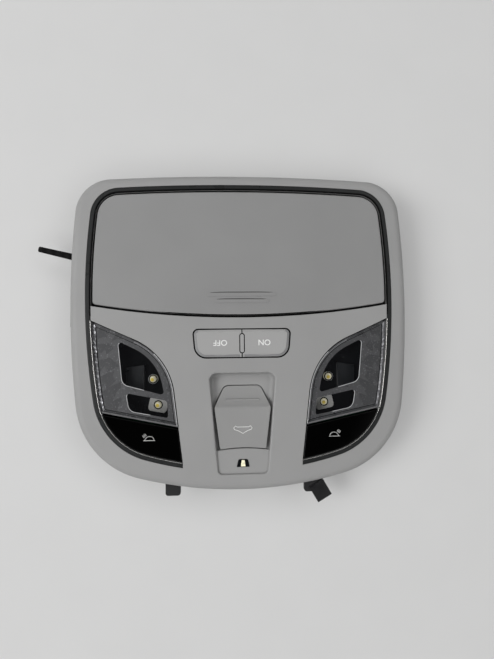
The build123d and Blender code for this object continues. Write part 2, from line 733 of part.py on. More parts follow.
# Glasses housing: bucket, flange, upper wall up to the bezel, hinge bosses and screw lugs
housing_outline = inset(trim_outer, HOUSING_FIT)
housing_inner = inset(trim_outer, HOUSING_FIT + HOUSING_WALL)
glasses_wall_outside = slab(door_side(housing_outline, HOUSING_MARGIN), under, floor=FLANGE_Z)
glasses_wall_inside = slab(
    door_side(housing_inner, HOUSING_MARGIN - HOUSING_WALL), above_face, floor=FLANGE_TOP_Z
)
bucket_front_y = DOOR_EDGE_Y + BUCKET_FRONT_MARGIN
bucket_back_y = TRIM_TOP_Y - BUCKET_BACK_GAP
pin_end_x = BUCKET_HALF - HOUSING_WALL / 2
cable_start = CABLE_ROUTE[0]
with BuildPart() as well_block:
    with BuildSketch(Plane.XY.offset(WELL_Z)):
        add(behind_hinge(housing_outline, WELL_LEAD))
    extrude(amount=FLANGE_TOP_Z - WELL_Z)
with BuildPart() as well_room:
    with BuildSketch(Plane.XY.offset(WELL_Z + HOUSING_WALL)):
        add(behind_hinge(housing_inner, WELL_LEAD - HOUSING_WALL))
    extrude(amount=FLANGE_TOP_Z - WELL_Z)
with BuildSketch() as bucket:
    with Locations((0, bucket_front_y)):
        Rectangle(2 * BUCKET_HALF, bucket_back_y - bucket_front_y, align=(Align.CENTER, Align.MIN))
    fillet(bucket.vertices(), radius=BUCKET_CORNER)


def lugs(bosses, inwards):
    """Flat ears that reach from a housing's wall to the bosses."""
    with BuildSketch() as ears_sketch:
        for x, y in both_sides(bosses):
            root = (x - inwards[0] * LUG_ROOT * (1 if x > 0 else -1), y + inwards[1] * LUG_ROOT)
            SlotCenterPoint(center=root, point=(x, y), height=2 * LUG_RADIUS)
    return ears_sketch.sketch


with BuildPart() as glasses_housing:
    with BuildSketch():
        add(bucket.sketch)
    extrude(amount=FLANGE_TOP_Z)
    fillet(glasses_housing.faces().sort_by(Axis.Z)[0].edges(), radius=BUCKET_ROUND)
    add(glasses_wall_outside)
    add(well_block.part)
    with BuildSketch(Plane.XY.offset(FLANGE_Z)):
        add(lugs(GLASSES_BOSSES, (1, 0)))
    extrude(amount=HOUSING_WALL)
    add(glasses_wall_inside, mode=Mode.SUBTRACT)
    add(well_room.part, mode=Mode.SUBTRACT)
    with BuildSketch(Plane.XY.offset(HOUSING_WALL)):
        add(bucket.sketch)
        offset(amount=-HOUSING_WALL)
    extrude(amount=FLANGE_TOP_Z - HOUSING_WALL, mode=Mode.SUBTRACT)
    for x in (HINGE_BOSS_X, -BUCKET_HALF):
        with BuildSketch(Plane.YZ.offset(x)):
            with Locations((HINGE_Y, HINGE_Z)):
                Circle(HINGE_BOSS_HALF)
                Rectangle(2 * HINGE_BOSS_HALF, HINGE_Z - WELL_Z, align=(Align.CENTER, Align.MAX))
        extrude(amount=HINGE_BOSS_LENGTH)
    with BuildSketch(Plane.YZ):
        with Locations((HINGE_Y, HINGE_Z)):
            Circle(PIN_RADIUS)
    extrude(amount=pin_end_x, both=True, mode=Mode.SUBTRACT)
    with BuildSketch():
        with Locations((MOUNT_HALF_SPACING, MOUNT_Y), (-MOUNT_HALF_SPACING, MOUNT_Y)):
            Circle(MOUNT_HOLE / 2)
    extrude(amount=HOUSING_WALL, mode=Mode.SUBTRACT)
    with BuildSketch(Plane.XY.offset(FLANGE_Z)):
        with Locations(*both_sides(GLASSES_BOSSES)):
            Circle(SCREW_HOLE)
    extrude(amount=HOUSING_WALL, mode=Mode.SUBTRACT)
    with BuildSketch(Plane.YZ.offset(-BUCKET_HALF)):
        with Locations((cable_start[1], cable_start[2])):
            Circle(GROMMET_PLUG_RADIUS)
    extrude(amount=HOUSING_WALL, mode=Mode.SUBTRACT)

# Hinge pins, fixed in the housing's bosses
with BuildPart() as hinge_pins:
    with BuildSketch(Plane.YZ.offset(EAR_INNER_X)):
        with Locations((HINGE_Y, HINGE_Z)):
            Circle(PIN_RADIUS)
    extrude(amount=pin_end_x - EAR_INNER_X)
    mirror(about=Plane.YZ)

# Door spring: a torsion coil round the right pin
spring_length = HINGE_BOSS_X - EAR_OUTER_X - 2 * SPRING_FIT - SPRING_WIRE
spring_place = Location((EAR_OUTER_X + SPRING_FIT + SPRING_WIRE / 2, HINGE_Y, HINGE_Z), (0, 90, 0))
with BuildPart() as upright_coil:
    with BuildLine() as coil:
        Helix(pitch=spring_length / SPRING_TURNS, height=spring_length, radius=SPRING_RADIUS)
    with BuildSketch(Plane(coil.line @ 0, z_dir=coil.line % 0)):
        Circle(SPRING_WIRE / 2)
    sweep(path=coil.line, is_frenet=True)
with BuildPart() as door_spring:
    with Locations(spring_place):
        add(upright_coil.part)

# Push latch: a box on the flange that the door's hook drops into
latch_front_y = hook_y - HOOK_BARB - LATCH_CLEAR
latch_back_y = hook_y + HOOK_THICK + LATCH_CLEAR
latch_floor_z = FLANGE_TOP_Z + LATCH_WALL
with BuildPart() as push_latch:
    with BuildSketch(Plane.XY.offset(FLANGE_TOP_Z)):
        with Locations((0, latch_front_y - LATCH_WALL)):
            Rectangle(
                2 * LATCH_HALF,
                latch_back_y - latch_front_y + 2 * LATCH_WALL,
                align=(Align.CENTER, Align.MIN),
            )
    extrude(amount=LATCH_HEIGHT)
    with BuildSketch(Plane.XY.offset(latch_floor_z)):
        with Locations((0, latch_front_y)):
            Rectangle(
                2 * (HOOK_HALF + LATCH_CLEAR), latch_back_y - latch_front_y, align=(Align.CENTER, Align.MIN)
            )
    extrude(amount=LATCH_HEIGHT, mode=Mode.SUBTRACT)

# Rear housing: walls up to the bezel, floor on stiffening ribs, posts, front tabs and lugs
rear_margin = HOUSING_MARGIN + HOUSING_SPLIT
rear_plan = front_side(housing_outline, rear_margin)
rear_block = slab(rear_plan, under, floor=REAR_FLOOR_Z)
rear_inside = slab(
    front_side(housing_inner, rear_margin + HOUSING_WALL), above_face, floor=REAR_FLOOR_Z + HOUSING_WALL
)
cup_room = slab(
    inset(recess, -RECESS_WALL - CUP_GAP), above_face, floor=WELL_FLOOR_Z - RECESS_WALL - CUP_GAP
)
tab_tip_y = RIM_FRONT_Y - TAB_REACH
with BuildPart() as rear_housing:
    add(rear_block)
    fillet(rear_housing.faces().sort_by(Axis.Z)[0].edges(), radius=REAR_ROUND)
    with BuildSketch(Plane.XY.offset(TAB_Z)) as tab_sketch:
        with Locations((TAB_X, tab_tip_y), (-TAB_X, tab_tip_y)):
            Rectangle(TAB_WIDTH, -tab_tip_y / 2, align=(Align.CENTER, Align.MIN))
        fillet(tab_sketch.vertices().group_by(Axis.Y)[0], radius=TAB_CORNER)
    extrude(amount=TAB_THICK)
    with BuildSketch(Plane.XY.offset(FLANGE_Z)):
        add(lugs(SIDE_BOSSES, (1, 0)))
        add(lugs(FRONT_BOSSES, (0, 1)))
    extrude(amount=HOUSING_WALL)
    with BuildSketch(Plane.XY.offset(CLIP_LUG_Z)):
        for side in SIDES:
            with Locations((side * (CLIP_LUG_START_X + CLIP_LUG_X) / 2, sum(CLIP_LUG_Y) / 2)):
                Rectangle(CLIP_LUG_X - CLIP_LUG_START_X, CLIP_LUG_Y[1] - CLIP_LUG_Y[0])
    extrude(amount=CLIP_LUG_THICK)
    add(rear_inside, mode=Mode.SUBTRACT)
    add(cup_room, mode=Mode.SUBTRACT)
    with BuildSketch():
        for x in LONG_RIB_X:
            with Locations((x, 0)):
                Rectangle(RIB_THICK, FAR)
        for y in CROSS_RIB_Y:
            with Locations((0, y)):
                Rectangle(FAR, RIB_THICK)
        add(front_side(inset(trim_outer, RIB_INSET), rear_margin + RIB_INSET), mode=Mode.INTERSECT)
    extrude(amount=REAR_FLOOR_Z)
    with BuildSketch(Plane.XY.offset(REAR_FLOOR_Z + HOUSING_WALL)):
        with Locations(*both_sides(BOARD_POSTS + LAMP_POSTS)):
            Circle(POST_RADIUS)
    extrude(amount=BOARD_Z - REAR_FLOOR_Z - HOUSING_WALL)
    with BuildSketch(Plane.XY.offset(REAR_FLOOR_Z)):
        with Locations((CONNECTOR_X, CONNECTOR_Y)):
            Rectangle(CONNECTOR_LENGTH + 2 * CONNECTOR_GAP, CONNECTOR_WIDTH + 2 * CONNECTOR_GAP)
    extrude(amount=HOUSING_WALL, mode=Mode.SUBTRACT)
    with BuildSketch(Plane.XY.offset(FLANGE_Z)):
        with Locations(*both_sides(REAR_BOSSES)):
            Circle(SCREW_HOLE)
    extrude(amount=HOUSING_WALL, mode=Mode.SUBTRACT)

# Screws through the lugs into the bezel's bosses
with BuildPart() as housing_screws:
    with BuildSketch(Plane.XY.offset(FLANGE_Z - SCREW_HEAD_HEIGHT)):
        with Locations(*both_sides(GLASSES_BOSSES + REAR_BOSSES)):
            Circle(SCREW_HEAD_RADIUS)
    extrude(amount=SCREW_HEAD_HEIGHT)
    with BuildSketch(Plane.XY.offset(FLANGE_Z)):
        with Locations(*both_sides(GLASSES_BOSSES + REAR_BOSSES)):
            Circle(SCREW_RADIUS)
    extrude(amount=SKIRT_Z + BOSS_DEPTH - FLANGE_Z)

# Lamp on the right side: clear lens, metallic panel with two windows, reflector, board, diodes and key
lens_slab = slab(behind_split(leaf(LEAF_GAP)), crown(FACE_Z + LENS_PROUD), under)
with BuildPart() as right_lamp_lens:
    add(lens_slab)
    fillet(right_lamp_lens.faces().sort_by(Axis.Z)[-1].edges(), radius=LENS_ROUND)

panel_slab = slab(behind_split(leaf(-SEAT)), under, panel_under)
window_one = rounded_polygon(from_door_edge(WINDOW_ONE), WINDOW_ONE_RADII)
window_two = rounded_polygon(from_door_edge(WINDOW_TWO), WINDOW_TWO_RADII)
with BuildPart() as right_lamp_panel:
    add(panel_slab)
    with BuildSketch(Plane.XY.offset(SKIRT_Z)):
        add(window_one)
        add(window_two)
    extrude(amount=PRISM_TOP - SKIRT_Z, mode=Mode.SUBTRACT)

reflector_floor_z = BOARD_TOP_Z + REFLECTOR_WALL
reflector_outside = slab(
    behind_split(leaf(REFLECTOR_INSET), REFLECTOR_INSET / 2), panel_under, floor=BOARD_TOP_Z
)
reflector_inside = slab(
    behind_split(leaf(REFLECTOR_INSET + REFLECTOR_WALL), REFLECTOR_INSET / 2 + REFLECTOR_WALL),
    above_face,
    floor=reflector_floor_z,
)
diode_places = from_door_edge((DIODE_ONE, DIODE_TWO))
diode_top = DIODE_RIM_HEIGHT + DIODE_RADIUS
with BuildPart() as right_lamp_reflector:
    add(reflector_outside)
    add(reflector_inside, mode=Mode.SUBTRACT)
    with BuildSketch(Plane.XY.offset(BOARD_TOP_Z)):
        with Locations(*diode_places):
            Circle(DIODE_RIM + DIODE_HOLE_GAP)
    extrude(amount=REFLECTOR_WALL, mode=Mode.SUBTRACT)

with BuildPart() as right_lamp_board:
    with BuildSketch(Plane.XY.offset(BOARD_Z)):
        add(leaf(LAMP_BOARD_INSET))
    extrude(amount=BOARD_THICK)

with BuildPart() as right_lamp_diodes:
    for x, y in diode_places:
        with BuildSketch(Plane(origin=(x, y, BOARD_TOP_Z), x_dir=(1, 0, 0), z_dir=(0, -1, 0))):
            with BuildLine():
                Polyline(
                    (0, diode_top),
                    (0, 0),
                    (DIODE_RIM, 0),
                    (DIODE_RIM, DIODE_RIM_HEIGHT),
                    (DIODE_RADIUS, DIODE_RIM_HEIGHT),
                )
                RadiusArc((DIODE_RADIUS, DIODE_RIM_HEIGHT), (0, diode_top), -DIODE_RADIUS)
            make_face()
        revolve(axis=Axis((x, y, 0), (0, 0, 1)))

with BuildPart() as right_diode_holder:
    with BuildSketch(Plane.XY.offset(reflector_floor_z)):
        with Locations(Location((*diode_places[1], 0), (0, 0, SPLIT_ANGLE))):
            RectangleRounded(HOLDER_LENGTH, HOLDER_WIDTH, HOLDER_CORNER)
            Circle(DIODE_RIM + DIODE_HOLE_GAP, mode=Mode.SUBTRACT)
    extrude(amount=HOLDER_THICK)

key_under = crown(FACE_Z + KEY_PROUD - KEY_DEPTH)
key_place = from_door_edge((KEY_PLUNGER,))[0]
key_slab = slab(before_split(leaf(KEY_GAP)), crown(FACE_Z + KEY_PROUD), key_under)
key_flange = slab(before_split(leaf(-SEAT)), flange_top, key_under)
with BuildSketch() as key_plunger_sketch:
    with Locations(key_place):
        Circle(PLUNGER_RADIUS)
key_plunger = slab(key_plunger_sketch.sketch, flange_top, floor=PLUNGER_Z)
with BuildPart() as right_lamp_key:
    add(key_slab)
    fillet(right_lamp_key.faces().sort_by(Axis.Z)[-1].edges(), radius=KEY_ROUND)
    add(key_flange)
    add(key_plunger)

# Push buttons, each half of one opening, round the divider light pipe
with BuildSketch() as divider_hole:
    with Locations((0, button_middle_y)):
        SlotOverall(DIVIDER_LENGTH + 2 * DIVIDER_GAP, DIVIDER_WIDTH + 2 * DIVIDER_GAP, rotation=90)


def button_half(outline):
    """The right half of an outline round the divider, past half of the split."""
    with BuildSketch() as half:
        add(outline)
        with Locations((BUTTON_SPLIT / 2, 0)):
            Rectangle(FAR, FAR, align=(Align.MIN, Align.CENTER), mode=Mode.INTERSECT)
        add(divider_hole.sketch, mode=Mode.SUBTRACT)
    return half.sketch


button_under = crown(FACE_Z + BUTTON_PROUD - BUTTON_DEPTH)
button_plan = button_half(inset(button_opening, BUTTON_GAP))
button_slab = slab(button_plan, crown(FACE_Z + BUTTON_PROUD), button_under)
button_flange = slab(button_half(inset(button_opening, -SEAT)), flange_top, button_under)
with BuildSketch() as button_plunger_sketch:
    with Locations((BUTTON_PLUNGER_X, button_middle_y)):
        Circle(PLUNGER_RADIUS)
button_plunger = slab(button_plunger_sketch.sketch, flange_top, floor=PLUNGER_Z)
with BuildPart() as right_push_button:
    add(button_slab)
    button_face = right_push_button.faces().sort_by(Axis.Z)[-1]
    outer_edges = button_face.edges().filter_by(lambda edge: edge.center().X > DIVIDER_WIDTH + BUTTON_BEVEL)
    chamfer(outer_edges, length=BUTTON_BEVEL, length2=BUTTON_BEVEL_DEPTH, reference=button_face)
    add(button_flange)
    add(button_plunger)

with BuildSketch() as divider_sketch:
    with Locations((0, button_middle_y)):
        SlotOverall(DIVIDER_LENGTH, DIVIDER_WIDTH, rotation=90)
divider_slab = slab(divider_sketch.sketch, crown(FACE_Z + LENS_PROUD), floor=BOARD_TOP_Z)
with BuildPart() as button_divider:
    add(divider_slab)

# Sunroof lever: a folded paddle that rocks on a pin across its well
lever_dip_y = (lever_tip_y + lever_wide_y) / 2
lever_dip_z = (LEVER_TIP_Z + LEVER_CREST_Z) / 2 - LEVER_DIP
with BuildPart() as sunroof_lever:
    with BuildSketch(Plane.YZ):
        with BuildLine():
            lever_top = ThreePointArc(
                (lever_tip_y, LEVER_TIP_Z), (lever_dip_y, lever_dip_z), (lever_wide_y, LEVER_CREST_Z)
            )
            Polyline(
                (lever_wide_y, LEVER_CREST_Z),
                (lever_end_y, LEVER_END_Z),
                (lever_end_y, LEVER_END_Z - LEVER_THICK),
                (lever_wide_y, LEVER_CREST_Z - LEVER_THICK),
            )
            ThreePointArc(
                (lever_wide_y, LEVER_CREST_Z - LEVER_THICK),
                (lever_dip_y, lever_dip_z - LEVER_THICK),
                (lever_tip_y, LEVER_TIP_Z - LEVER_THICK),
            )
            Line((lever_tip_y, LEVER_TIP_Z - LEVER_THICK), (lever_tip_y, LEVER_TIP_Z))
        make_face()
    extrude(amount=LEVER_WIDE_HALF, both=True)
    fillet(sunroof_lever.edges().filter_by(Axis.X).sort_by(Axis.Z)[-1], radius=LEVER_CREST_RADIUS)
    with BuildSketch():
        add(lever_sketch.sketch)
    extrude(amount=PRISM_TOP, mode=Mode.INTERSECT)
    with BuildSketch(Plane.YZ):
        with Locations(lever_top @ LEVER_RIB_SHARE):
            Circle(LEVER_RIB_WIDTH / 2)
    extrude(amount=LEVER_RIB_LENGTH / 2, both=True)
    with BuildSketch(Plane.YZ):
        with Locations((lever_pivot_y, LEVER_PIVOT_Z)):
            Circle(LEVER_BOSS_RADIUS)
            Rectangle(
                2 * LEVER_BOSS_RADIUS, LEVER_END_Z - LEVER_PIVOT_Z, align=(Align.CENTER, Align.MIN)
            )
    extrude(amount=LEVER_TIP_HALF, both=True)
    with BuildSketch(Plane.XY.offset(LEVER_STEM_Z)):
        with Locations((0, lever_pivot_y)):
            Rectangle(LEVER_STEM_WIDTH, 2 * LEVER_STEM_HALF)
    extrude(amount=LEVER_PIVOT_Z - LEVER_STEM_Z)
    with BuildSketch(Plane.YZ):
        with Locations((lever_pivot_y, LEVER_PIVOT_Z)):
            Circle(PIN_RADIUS + PIN_FIT)
    extrude(amount=LEVER_WIDE_HALF, both=True, mode=Mode.SUBTRACT)

with BuildPart() as lever_pin:
    with BuildSketch(Plane.YZ):
        with Locations((lever_pivot_y, LEVER_PIVOT_Z)):
            Circle(PIN_RADIUS)
    extrude(amount=LEVER_WIDE_HALF + RECESS_WALL / 2, both=True)

# Mood light lens in the apron in front of the lever
mood_slab = slab(
    inset(mood_window, MOOD_FIT), crown(FACE_Z - APRON_DEPTH + LENS_PROUD), floor=LEVER_PIVOT_Z
)
with BuildPart() as mood_lens:
    add(mood_slab)

# Main board with its switches and the harness connector
board_top_y = DOOR_EDGE_Y - BOARD_TOP_DROP
with BuildPart() as main_board:
    with BuildSketch(Plane.XY.offset(BOARD_Z)):
        with Locations((0, board_top_y)):
            Rectangle(2 * BOARD_HALF, BOARD_LENGTH, align=(Align.CENTER, Align.MAX))
    extrude(amount=BOARD_THICK)
    fillet(main_board.edges().filter_by(Axis.Z), radius=POST_RADIUS)

tact_places = both_sides(((BUTTON_PLUNGER_X, button_middle_y), key_place))
with BuildPart() as tact_switches:
    with BuildSketch(Plane.XY.offset(BOARD_TOP_Z)):
        with Locations(*tact_places):
            Rectangle(TACT_SIDE, TACT_SIDE)
    extrude(amount=TACT_HEIGHT)
    with BuildSketch(Plane.XY.offset(BOARD_TOP_Z + TACT_HEIGHT)):
        with Locations(*tact_places):
            Circle(TACT_PLUNGER_RADIUS)
    extrude(amount=TACT_PLUNGER_HEIGHT)

with BuildPart() as lever_switch:
    with BuildSketch(Plane.XY.offset(BOARD_TOP_Z)):
        with Locations((0, lever_pivot_y)):
            Rectangle(LEVER_SWITCH_SIZE[0], LEVER_SWITCH_SIZE[1])
    extrude(amount=LEVER_SWITCH_SIZE[2])

with BuildPart() as board_connector:
    with BuildSketch(Plane.XY.offset(REAR_FLOOR_Z)):
        with Locations((CONNECTOR_X, CONNECTOR_Y)):
            Rectangle(CONNECTOR_LENGTH, CONNECTOR_WIDTH)
    extrude(amount=BOARD_Z - REAR_FLOOR_Z)
    with BuildSketch(Plane.XY.offset(REAR_FLOOR_Z)):
        with Locations((CONNECTOR_X, CONNECTOR_Y)):
            Rectangle(CONNECTOR_LENGTH - 2 * CONNECTOR_WALL, CONNECTOR_WIDTH - 2 * CONNECTOR_WALL)
    extrude(amount=CONNECTOR_DEPTH, mode=Mode.SUBTRACT)

# Side spring clips: bent strips on the rear housing's lugs
clip_top_z = CLIP_LUG_Z + CLIP_LUG_THICK + CLIP_THICK / 2
clip_reach_x = CLIP_REACH - CLIP_THICK / 2
clip_reach_z = clip_top_z - CLIP_DROP
with BuildPart() as right_side_clip:
    with BuildSketch(Plane.XZ.offset(-CLIP_Y)):
        with BuildLine():
            Polyline(
                (CLIP_LUG_X - CLIP_TAIL[0], clip_top_z),
                (CLIP_LUG_X + CLIP_THICK, clip_top_z),
                (clip_reach_x, clip_reach_z),
                (clip_reach_x - CLIP_TAIL[0], clip_reach_z - CLIP_TAIL[1]),
            )
        trace(line_width=CLIP_THICK)
    extrude(amount=CLIP_WIDTH / 2, both=True)

# Turned clip that grips the right tab
turn = radians(TURNED_CLIP_ANGLE)
clip_plane = Plane(
    origin=(*TURNED_CLIP_PLACE, 0), x_dir=(sin(turn), -cos(turn), 0), z_dir=(-cos(turn), -sin(turn), 0)
)
grip_z = TAB_Z - TURNED_CLIP_GAP
grip_height = TAB_THICK + 2 * TURNED_CLIP_GAP
with BuildPart() as turned_tab_clip:
    with BuildSketch(clip_plane):
        with Locations((-TURNED_CLIP_TAIL, grip_z - TURNED_CLIP_WALL)):
            Rectangle(
                TURNED_CLIP_TAIL + TURNED_CLIP_REACH + TURNED_CLIP_WALL,
                grip_height + 2 * TURNED_CLIP_WALL,
                align=(Align.MIN, Align.MIN),
            )
        with Locations((-TURNED_CLIP_TAIL, grip_z)):
            Rectangle(
                TURNED_CLIP_TAIL + TURNED_CLIP_REACH,
                grip_height,
                align=(Align.MIN, Align.MIN),
                mode=Mode.SUBTRACT,
            )
    extrude(amount=TURNED_CLIP_WIDTH / 2, both=True)

# Harness: grommet in the bucket's wall and the taped stub that comes out of it
grommet_length = -cable_start[0] - BUCKET_HALF
with BuildPart() as harness_grommet:
    with BuildSketch(Plane(origin=cable_start, x_dir=(1, 0, 0), z_dir=(0, -1, 0))):
        with BuildLine():
            Polyline(
                (0, 0),
                (0, GROMMET_TIP_RADIUS),
                (grommet_length, GROMMET_RADIUS),
                (grommet_length, GROMMET_PLUG_RADIUS),
                (grommet_length + HOUSING_WALL, GROMMET_PLUG_RADIUS),
                (grommet_length + HOUSING_WALL, 0),
                close=True,
            )
        make_face()
    revolve(axis=Axis(cable_start, (1, 0, 0)))

corners = [Vector(*point) for point in CABLE_ROUTE]
cable_radii = []
for before, corner, after in zip(corners, corners[1:], corners[2:]):
    turn_angle = (corner - before).get_angle(after - corner)
    shorter = min((corner - before).length, (after - corner).length)
    cable_radii.append(CABLE_ARC_SHARE * shorter / tan(radians(turn_angle) / 2))
print("cable radii", [round(radius, 1) for radius in cable_radii])
with BuildPart() as harness_cable:
    with BuildLine() as cable_path:
        FilletPolyline(*CABLE_ROUTE, radius=cable_radii)
    with BuildSketch(Plane(cable_path.line @ 0, z_dir=cable_path.line % 0)):
        Circle(CABLE_RADIUS)
    sweep(path=cable_path.line)
print("cable length", round(cable_path.wires()[0].length, 2))

# Every piece goes to its own file, with the lamp and switch pieces of the left side as mirror images
pieces = {
    "main_bezel": main_bezel.part,
    "dark_trim": dark_trim.part,
    "glasses_door": glasses_door.part,
    "glasses_tray": glasses_tray.part,
    "tray_liner": tray_liner.part,
    "glasses_housing": glasses_housing.part,
    "hinge_pins": hinge_pins.part,
    "door_spring": door_spring.part,
    "push_latch": push_latch.part,
    "rear_housing": rear_housing.part,
    "housing_screws": housing_screws.part,
    "button_divider": button_divider.part,
    "sunroof_lever": sunroof_lever.part,
    "lever_pin": lever_pin.part,
    "mood_lens": mood_lens.part,
    "main_board": main_board.part,
    "tact_switches": tact_switches.part,
    "lever_switch": lever_switch.part,
    "board_connector": board_connector.part,
    "turned_tab_clip": turned_tab_clip.part,
    "harness_grommet": harness_grommet.part,
    "harness_cable": harness_cable.part,
}
paired = {
    "lamp_lens": right_lamp_lens.part,
    "lamp_panel": right_lamp_panel.part,
    "lamp_reflector": right_lamp_reflector.part,
    "lamp_board": right_lamp_board.part,
    "lamp_diodes": right_lamp_diodes.part,
    "diode_holder": right_diode_holder.part,
    "lamp_key": right_lamp_key.part,
    "push_button": right_push_button.part,
    "side_clip": right_side_clip.part,
}
for name, part in paired.items():
    pieces["right_" + name] = part
    pieces["left_" + name] = mirrored(part)

os.makedirs("parts", exist_ok=True)
for name, part in pieces.items():
    part.label = name
    export_step(part, f"parts/{name}.step")
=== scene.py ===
"""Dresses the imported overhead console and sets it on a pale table, as the photograph shows it."""

import math
import random

import bmesh
import bpy
from mathutils import Matrix, Vector


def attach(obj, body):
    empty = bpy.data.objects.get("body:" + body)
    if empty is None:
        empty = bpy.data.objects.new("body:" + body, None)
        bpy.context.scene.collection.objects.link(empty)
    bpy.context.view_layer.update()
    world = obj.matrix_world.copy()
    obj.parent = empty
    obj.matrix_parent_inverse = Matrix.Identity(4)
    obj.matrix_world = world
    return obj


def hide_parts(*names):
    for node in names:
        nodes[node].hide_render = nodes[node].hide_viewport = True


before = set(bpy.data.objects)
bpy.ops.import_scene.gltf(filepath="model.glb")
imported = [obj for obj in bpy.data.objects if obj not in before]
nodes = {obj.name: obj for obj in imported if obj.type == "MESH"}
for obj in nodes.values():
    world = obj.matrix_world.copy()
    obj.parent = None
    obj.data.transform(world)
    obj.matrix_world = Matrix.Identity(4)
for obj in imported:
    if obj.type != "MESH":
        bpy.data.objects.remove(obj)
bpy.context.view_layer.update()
MM = 0.001

# Shapes that the pieces below share with the solids, in millimetres
FACE_Z = 46.0
PANEL_Z = 43.0
KEY_Z = 46.2
BUTTON_Z = 46.6
TRIM_Z = 46.3
MOOD_Z = 44.3
WELL_FLOOR_Z = 27.4
CROWN_RADIUS = 1600.0
CROWN_Y = 6.0
TRIM_TOP = (105.9, 110.3)
TRIM_FRONT = (100.5, -73.6)
TRIM_TOP_BOW = 3.0
TRIM_SIDE_BOW = 8.0
TRIM_FRONT_BOW = 21.3
TRIM_TOP_RADIUS = 21.0
TRIM_FRONT_RADIUS = 51.0
TRIM_WIDTH = 3.8
TRIM_END_HALF = 43.0
DOOR_EDGE = (17.5, 628.0)
DOOR_RIBS = ((34.1, 24.0), (29.3, 19.0))
BUTTON_CORNERS = ((35.2, 7.7), (33.4, -12.9), (-33.4, -12.9), (-35.2, 7.7))
BUTTON_RADII = (3.6, 8.6, 8.6, 3.6)
DIVIDER_Y = -2.6
DIVIDER_REACH = 5.3
DIVIDER_RADIUS = 1.65
LEAF_BEND = Vector((51.6, -10.3))
LEAF_TOP_ANGLE = math.radians(24.2)
LEAF_LEAN_ANGLE = math.radians(6.4)
LEAF_BEND_RADIUS = 48.0
SPLIT_POINT = Vector((72.5, -56.6))
SPLIT_ANGLE = math.radians(11.6)
WINDOW_ONE = ((88.8, 0.2), (61.0, -13.6), (55.8, -39.3), (85.8, -31.2))
WINDOW_ONE_RADII = (2.0, 36.0, 2.0, 6.0)
WINDOW_TWO = ((83.2, -37.2), (54.0, -43.2), (53.2, -55.6), (81.0, -50.3))
WINDOW_TWO_RADII = (2.0, 2.5, 1.5, 6.0)
DIODES = ((65.3, -28.0), (61.6, -46.9))
DIODE_RIM_Z = 29.2
MOOD_Y = -88.8
LEVER_CREST = (-48.6, 44.6)
LEVER_END = (-78.4, 43.6)
CABLE_ROUTE = ((-104.0, 61.2, 20.0), (-114.0, 61.2, 20.0), (-132.0, 65.6, 19.4), (-151.0, 70.4, 17.2))
CABLE_TAPER = (1.0, 0.96, 0.86, 0.76)
CABLE_RADIUS = 2.75

# Sizes of the small pieces that the scene adds, in millimetres
HIGHLIGHT_INSET = 0.35
HIGHLIGHT_RADIUS = 0.25
# Painted shade in the gap between the trim and the door: width, sink and thickness of its black band
TRIM_GAP_SHADE = 0.9
TRIM_GAP_SHADE_SINK = 0.5
TRIM_GAP_SHADE_THICK = 0.56
# Painted shadow under the door's front edge
DOOR_SHADOW_HALF = 78.0
DOOR_SHADOW_INSET = 0.65
DOOR_SHADOW_RADIUS = 0.62
DOOR_SHADOW_FADE = 0.45
DOOR_SHADOW_STEPS = 30
RIB_RADIUS = 0.55
RIB_SINK = 0.1
RIB_END_SHARE = 0.05
RIB_STEPS = 20
LENS_GAP_INSET = 0.1
LENS_GAP_SINK = 0.1
LENS_GAP_RADIUS = 0.3
LENS_EDGE_INSET = 0.8
LENS_EDGE_SINK = 0.6
LENS_EDGE_RADIUS = 0.24
LENS_EDGE_START = 14
PRISM_INSETS = (1.2, 2.4)
PRISM_HEIGHTS = (0.1, 0.35)
SPARKLE_INSETS = (0.7, 2.3)
GLINT_LOW = 0.15
GLINT_REACH = 0.7
GLINT_SEED = 7
PANEL_LINE_INSET = 2.7
PANEL_LINE_RADIUS = 0.22
LIGHT_BAR_INSETS = (0.25, 1.3)
LIGHT_BAR_SINK = 0.9
LIGHT_BAR_THICK = 0.5
WINDOW_EDGE_LIFT = 0.1
WINDOW_EDGE_RADIUS = 0.22
WINDOW_EDGE_LAST = 5
DIODE_RING = 2.9
DIODE_RING_LIFT = 0.1
DIODE_RING_RADIUS = 0.55
DIODE_GLINT_RING = 3.35
DIODE_GLINT_RING_LIFT = 0.25
DIODE_GLINT_RING_RADIUS = 0.18
CHIP_SHIFT = 0.4
CHIP_RADIUS = 1.3
CHIP_LIFT = (1.5, 2.5)
RING_STEPS = 28
CHIP_STEPS = 16
STEP_OUTLINE = ((71.4, -17.5), (85.0, -19.5), (84.5, -33.0), (71.4, -37.0))
STEP_Z = 31.0
BUTTON_GAP_SINK = 0.3
BUTTON_GAP_RADIUS = 0.58
DIVIDER_STEPS = 12
BEVEL_FOOT = (0.6, -0.72)
BEVEL_BROW = (2.3, 0.05)
BEVEL_SKIN = 0.05
WORD_HEIGHT = 4.0
WORD_CAPITAL_SHARE = 0.7
WORD_THICK = 0.06
WORD_SWELL = 0.08
LEFT_WORD_PLACE = (-15.6, -2.0)
RIGHT_WORD_PLACE = (16.0, -2.0)
KEY_ICON_RADIUS = 0.24
LEVER_ICON_RADIUS = 0.26
MOOD_CHIP_LIFT = (-0.3, 0.25)
CHIP_BEVEL = 0.2
ICON_PLACE = (66.4, -69.4)
LAMP_ICON = (
    ((-4.0, -1.5), (4.2, -1.5)),
    ((-3.4, -1.3), (-2.9, 0.2), (-1.8, 1.2), (-0.2, 1.5), (1.4, 1.1), (2.4, 0.2), (3.4, -1.3)),
    ((2.0, 1.8), (3.2, 3.4)),
    ((2.8, 1.2), (4.0, 2.8)),
    ((3.6, 0.6), (4.8, 2.2)),
)
ROOF_ICON = (
    (-6.6, -63.2),
    (-5.4, -61.9),
    (-4.0, -62.6),
    (4.0, -62.6),
    (5.4, -61.9),
    (6.6, -63.2),
    (6.0, -64.4),
    (3.4, -65.2),
    (0.0, -67.2),
    (-3.4, -65.2),
    (-6.0, -64.4),
)
